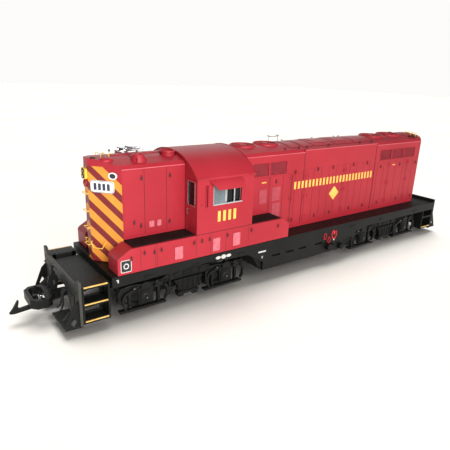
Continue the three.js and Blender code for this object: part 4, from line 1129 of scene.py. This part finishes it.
def truck_side(mesh, place, low_y):
    """One side frame: place(x, y) turns truck-centred x and outward y into model x and y."""
    def slab(x, y, z):
        (xa, ya), (xb, yb) = place(x[0], y[0]), place(x[1], y[1])
        block(mesh, sorted((xa, xb)), sorted((ya, yb)), z)

    def profile(points, y0, y1):
        loft(mesh, [[mesh.verts.new((*place(x, y), z)) for x, z in points] for y in (y0, y1)])

    def boss(x, z, rings):
        loft(mesh, [[mesh.verts.new((*place(x + r * math.cos(a), y), z + r * math.sin(a)))
                     for a in [2 * math.pi * k / 20 for k in range(20)]] for r, y in rings])

    beam = [(-71, 25), (-70, 34), (-30, 34), (-23, 38), (23, 38), (30, 34), (73, 34), (76, 28), (75.5, 20),
            (72.5, 20), (71, 26), (30, 27), (22, 30), (-22, 30), (-30, 27), (-69, 27)]
    profile(beam, 41.4, 45.4)
    for (x0, z0), (x1, z1) in zip(beam[1:8], beam[2:9]):
        profile([(x0, z0 - 1.1), (x1, z1 - 1.1), (x1, z1), (x0, z0)], 45.2, 46.6)
    for (x0, z0), (x1, z1) in zip(beam[10:15], beam[11:16]):
        profile([(x0, z0), (x1, z1), (x1, z1 + 0.9), (x0, z0 + 0.9)], 45.2, 46.4)
    profile([(-21, 30.5), (21, 30.5), (21, 37), (-21, 37)], 45.0, 46.2)
    for x in (-14.5, 14.5):
        profile([(x - 3, 36), (x + 3, 36), (x, 30.8)], 46.0, 47.2)
        boss(x, 34.2, ((1.2, 46.0), (1.2, 47.8), (0.7, 48.1)))
    for x0, x1, z0, z1 in ((-5.5, 5.5, 32.2, 32.9), (-5.5, 5.5, 35.1, 35.8), (-5.5, -4.8, 32.2, 35.8),
                           (4.8, 5.5, 32.2, 35.8)):
        slab((x0, x1), (46.0, 46.9), (z0, z1))
    slab((-9, 9), (low_y, 41.4), (24.4, 32.6))
    for k in range(6):
        half = 17 - 1.5 * k
        profile([(-half, 27.4 - 2.3 * k), (half, 27.4 - 2.3 * k), (half - 0.8, 29.2 - 2.3 * k),
                 (-half + 0.8, 29.2 - 2.3 * k)], 41, 48.2 - 0.1 * k)
    for x in (-12, -6, 0, 6, 12):
        slab((x - 0.6, x + 0.6), (47.4, 48.8), (17.2, 29.4))
    slab((-12, 12), (40.4, 48.4), (12.6, 15.2))
    profile([(-11, 9.2), (-5, 9.2), (-3.5, 11.6), (4.5, 11.6), (6, 9.6), (11, 9.6), (12, 13),
             (-12, 13)], 41, 47.6)
    for x in (-22.5, 20.5):
        slab((x, x + 2.0), (41, 47.6), (15, 30))
        boss(x + 1.0, 22, ((1.5, 47.0), (1.5, 48.4), (0.8, 48.8)))
    for c in (-HALF_BASE, HALF_BASE):
        slab((c - 7.8, c + 7.8), (43.4, 46.6), (12.2, 29.4))
        profile([(c - 6.2, 13.6), (c + 6.2, 13.6), (c + 6.6, 22), (c + 4.4, 27), (c - 4.4, 27),
                 (c - 6.6, 22)], 46.4, 47.6)
        boss(c, AXLE_Z, ((5.3, 47.4), (5.3, 48.2), (4.5, 48.7), (2.2, 48.7), (2.0, 49.3), (0.9, 49.5)))
        for a in (45, 135, 225, 315):
            boss(c + 5.3 * math.cos(math.radians(a)), AXLE_Z + 5.0 * math.sin(math.radians(a)),
                 ((0.8, 47.4), (0.8, 48.3), (0.4, 48.5)))
        slab((c - 21, c + 27.5), (41.5, 48.4), (8.8, 10.0))
        slab((c - 21, c + 27.5), (47.5, 48.8), (8.8, 11.2))
        for x in (c - 15.6, c + 15.2):
            slab((x, x + 2.6), (42, 45.8), (10, 28))
            boss(x + 1.3, 12.6, ((1.5, 45.4), (1.5, 47.0), (0.8, 47.4)))
        arc = [(c + 19 + 6.5 * math.cos(math.radians(a)), 19.5 + 9.5 * math.sin(math.radians(a)))
               for a in range(-70, 100, 20)]
        thin = [(c + 19 + 4.2 * math.cos(math.radians(a)), 19.5 + 7.0 * math.sin(math.radians(a)))
                for a in range(-70, 100, 20)]
        for i in range(len(arc) - 1):
            profile([arc[i], arc[i + 1], thin[i + 1], thin[i]], 45.6, 48.4)
        arc = [(c - 19 - 5.5 * math.cos(math.radians(a)), 20.5 + 9.0 * math.sin(math.radians(a)))
               for a in range(-80, 90, 20)]
        thin = [(c - 19 - 3.4 * math.cos(math.radians(a)), 20.5 + 6.6 * math.sin(math.radians(a)))
                for a in range(-80, 90, 20)]
        for i in range(len(arc) - 1):
            profile([arc[i], arc[i + 1], thin[i + 1], thin[i]], 45.6, 48.0)
        profile([(c - 17, 29.5), (c - 9, 28), (c - 8.4, 30.4), (c - 16.5, 32.2)], 45.4, 48.2)
        profile([(c + 8.5, 30.8), (c + 18.6, 26.6), (c + 19.4, 28.8), (c + 9, 33.2)], 45.4, 48.2)
        slab((c - 4.6, c + 5.4), (45.2, 48.6), (30.4, 34.4))
        slab((c - 2.6, c + 3.4), (46.4, 49.2), (34.0, 36.0))
        boss(c - 11.5, 33.0, ((2.2, 45.0), (2.2, 48.6), (1.2, 49.0)))
        boss(c + 12.5, 31.6, ((1.7, 45.0), (1.7, 48.2), (0.9, 48.6)))


for end, cx in (("front", TRUCK_X), ("rear", -TRUCK_X)):
    truck = "truck_" + end
    keep([truck + "_casing", truck + "_lid"], black_styrene, 0.4)
    keep([truck + "_motor"], zinc_can, 0.5)
    for hand, s in HANDS:
        frame_mesh = bmesh.new()
        truck_side(frame_mesh, lambda x, y: (cx + s * x, s * y), 17.4)
        fit(finished(f"{truck}_side_{hand}", frame_mesh, black_styrene, 0.15), truck, "truck_plastic",
            f"{truck}_frame_{hand}")
        links, dots = bmesh.new(), bmesh.new()
        for c in (-HALF_BASE, HALF_BASE):
            for x, z, r in ((c + 12.5, 31.6, 0.6), (c - 11.5, 33.0, 0.7), (c, AXLE_Z, 0.7)):
                y0 = 49.3 if x == c else 48.4
                turned(dots, outward([(0, 0), (r, 0), (r * 0.8, 0.5), (0, 0.6)], s), "y",
                       (cx + s * x, s * y0, z), 10)
            wire(links, [(cx + s * (c - 24), s * 47, 30.6), (cx + s * (c - 20), s * 48, 32),
                         (cx + s * (c + 17), s * 48.2, 35.4), (cx + s * (c + 22), s * 47, 34)], 0.6)
        fit(finished(f"{truck}_brake_rods_{hand}", links, black_styrene), truck, "truck_plastic")
        fit(finished(f"{truck}_pin_heads_{hand}", dots, pin_steel), truck, "truck_plastic")
    caps = bmesh.new()
    for x in (-20.4, 20.4):
        turned(caps, [(0, x - 0.6), (8.2, x - 0.6), (8.6, x), (8.2, x + 0.6), (0, x + 0.6)], "x",
               (cx, 0, AXLE_Z + 10.5), 32)
    fit(finished(truck + "_motor_caps", caps, black_pressed), truck, "motor_steel")

    # The worm shaft carries a single-start brass worm at each end, 2.96 mm to the turn.
    shaft = bmesh.new()
    turned(shaft, [(0, -53), (1.4, -53), (1.6, -52.6), (1.6, 52.6), (1.4, 53), (0, 53)], "x",
           (cx, 0, AXLE_Z + 10.5), 20)
    for start in (-52, 42):
        rows, around = 60, 18
        grid = []
        for k in range(rows + 1):
            h = start + 10 * k / rows
            ring = []
            for m in range(around):
                phase = (h / 2.96 - m / around) % 1
                r = 2.0 + 1.0 * min(1, max(0, 1.6 - 4 * abs(phase - 0.5)))
                a = 2 * math.pi * m / around
                ring.append(shaft.verts.new((cx + h, r * math.cos(a), AXLE_Z + 10.5 + r * math.sin(a))))
            grid.append(ring)
        loft(shaft, grid)
    fit(finished(truck + "_worms", shaft, brass), truck + "_worm", "worm_brass", truck + "_worm_shaft")

    # Wheelsets: turned steel wheels pressed on a plain axle, with a brass worm wheel at the middle.
    for place_name, sign in (("outer", 1 if cx > 0 else -1), ("inner", -1 if cx > 0 else 1)):
        wheel_x = cx + sign * HALF_BASE
        steel, gear = bmesh.new(), bmesh.new()
        for s in (1, -1):
            rim = [(2.6, 20.4), (18.3, 20.4), (19.0, 20.5), (19.3, 20.9), (19.3, 21.3), (18.9, 21.8),
                   (17.9, 22.4), (17.6, 23.0), (17.4, 28.0), (17.1, 28.2), (15.4, 28.2), (14.9, 27.8),
                   (14.2, 25.6), (13.6, 25.0), (7.0, 25.4), (5.6, 26.2), (5.2, 28.8), (4.8, 29.0),
                   (2.6, 29.0)]
            turned(steel, [(r, s * h) for r, h in rim], "y", (wheel_x, 0, AXLE_Z), 64)
        axle = [(0, -43.2), (1.0, -43.2), (2.0, -42.0), (2.6, -41.4), (2.6, 41.4), (2.0, 42.0),
                (1.0, 43.2), (0, 43.2)]
        turned(steel, axle, "y", (wheel_x, 0, AXLE_Z), 24)
        teeth = []
        for k in range(56):
            r = 7.0 if k % 4 in (0, 1) else 5.6
            a = 2 * math.pi * (k + 0.5) / 56
            teeth.append((wheel_x + r * math.cos(a), AXLE_Z + r * math.sin(a)))
        prism(gear, teeth, "y", -2.5, 2.5)
        axle_body = f"{truck}_{place_name}_axle"
        fit(finished(f"{truck}_wheels_{place_name}", steel, turned_steel), axle_body, "wheel_steel",
            f"{truck}_wheelset_{place_name}")
        fit(finished(f"{truck}_worm_wheel_{place_name}", gear, brass, 0.1), axle_body, "worm_brass")

low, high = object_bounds()
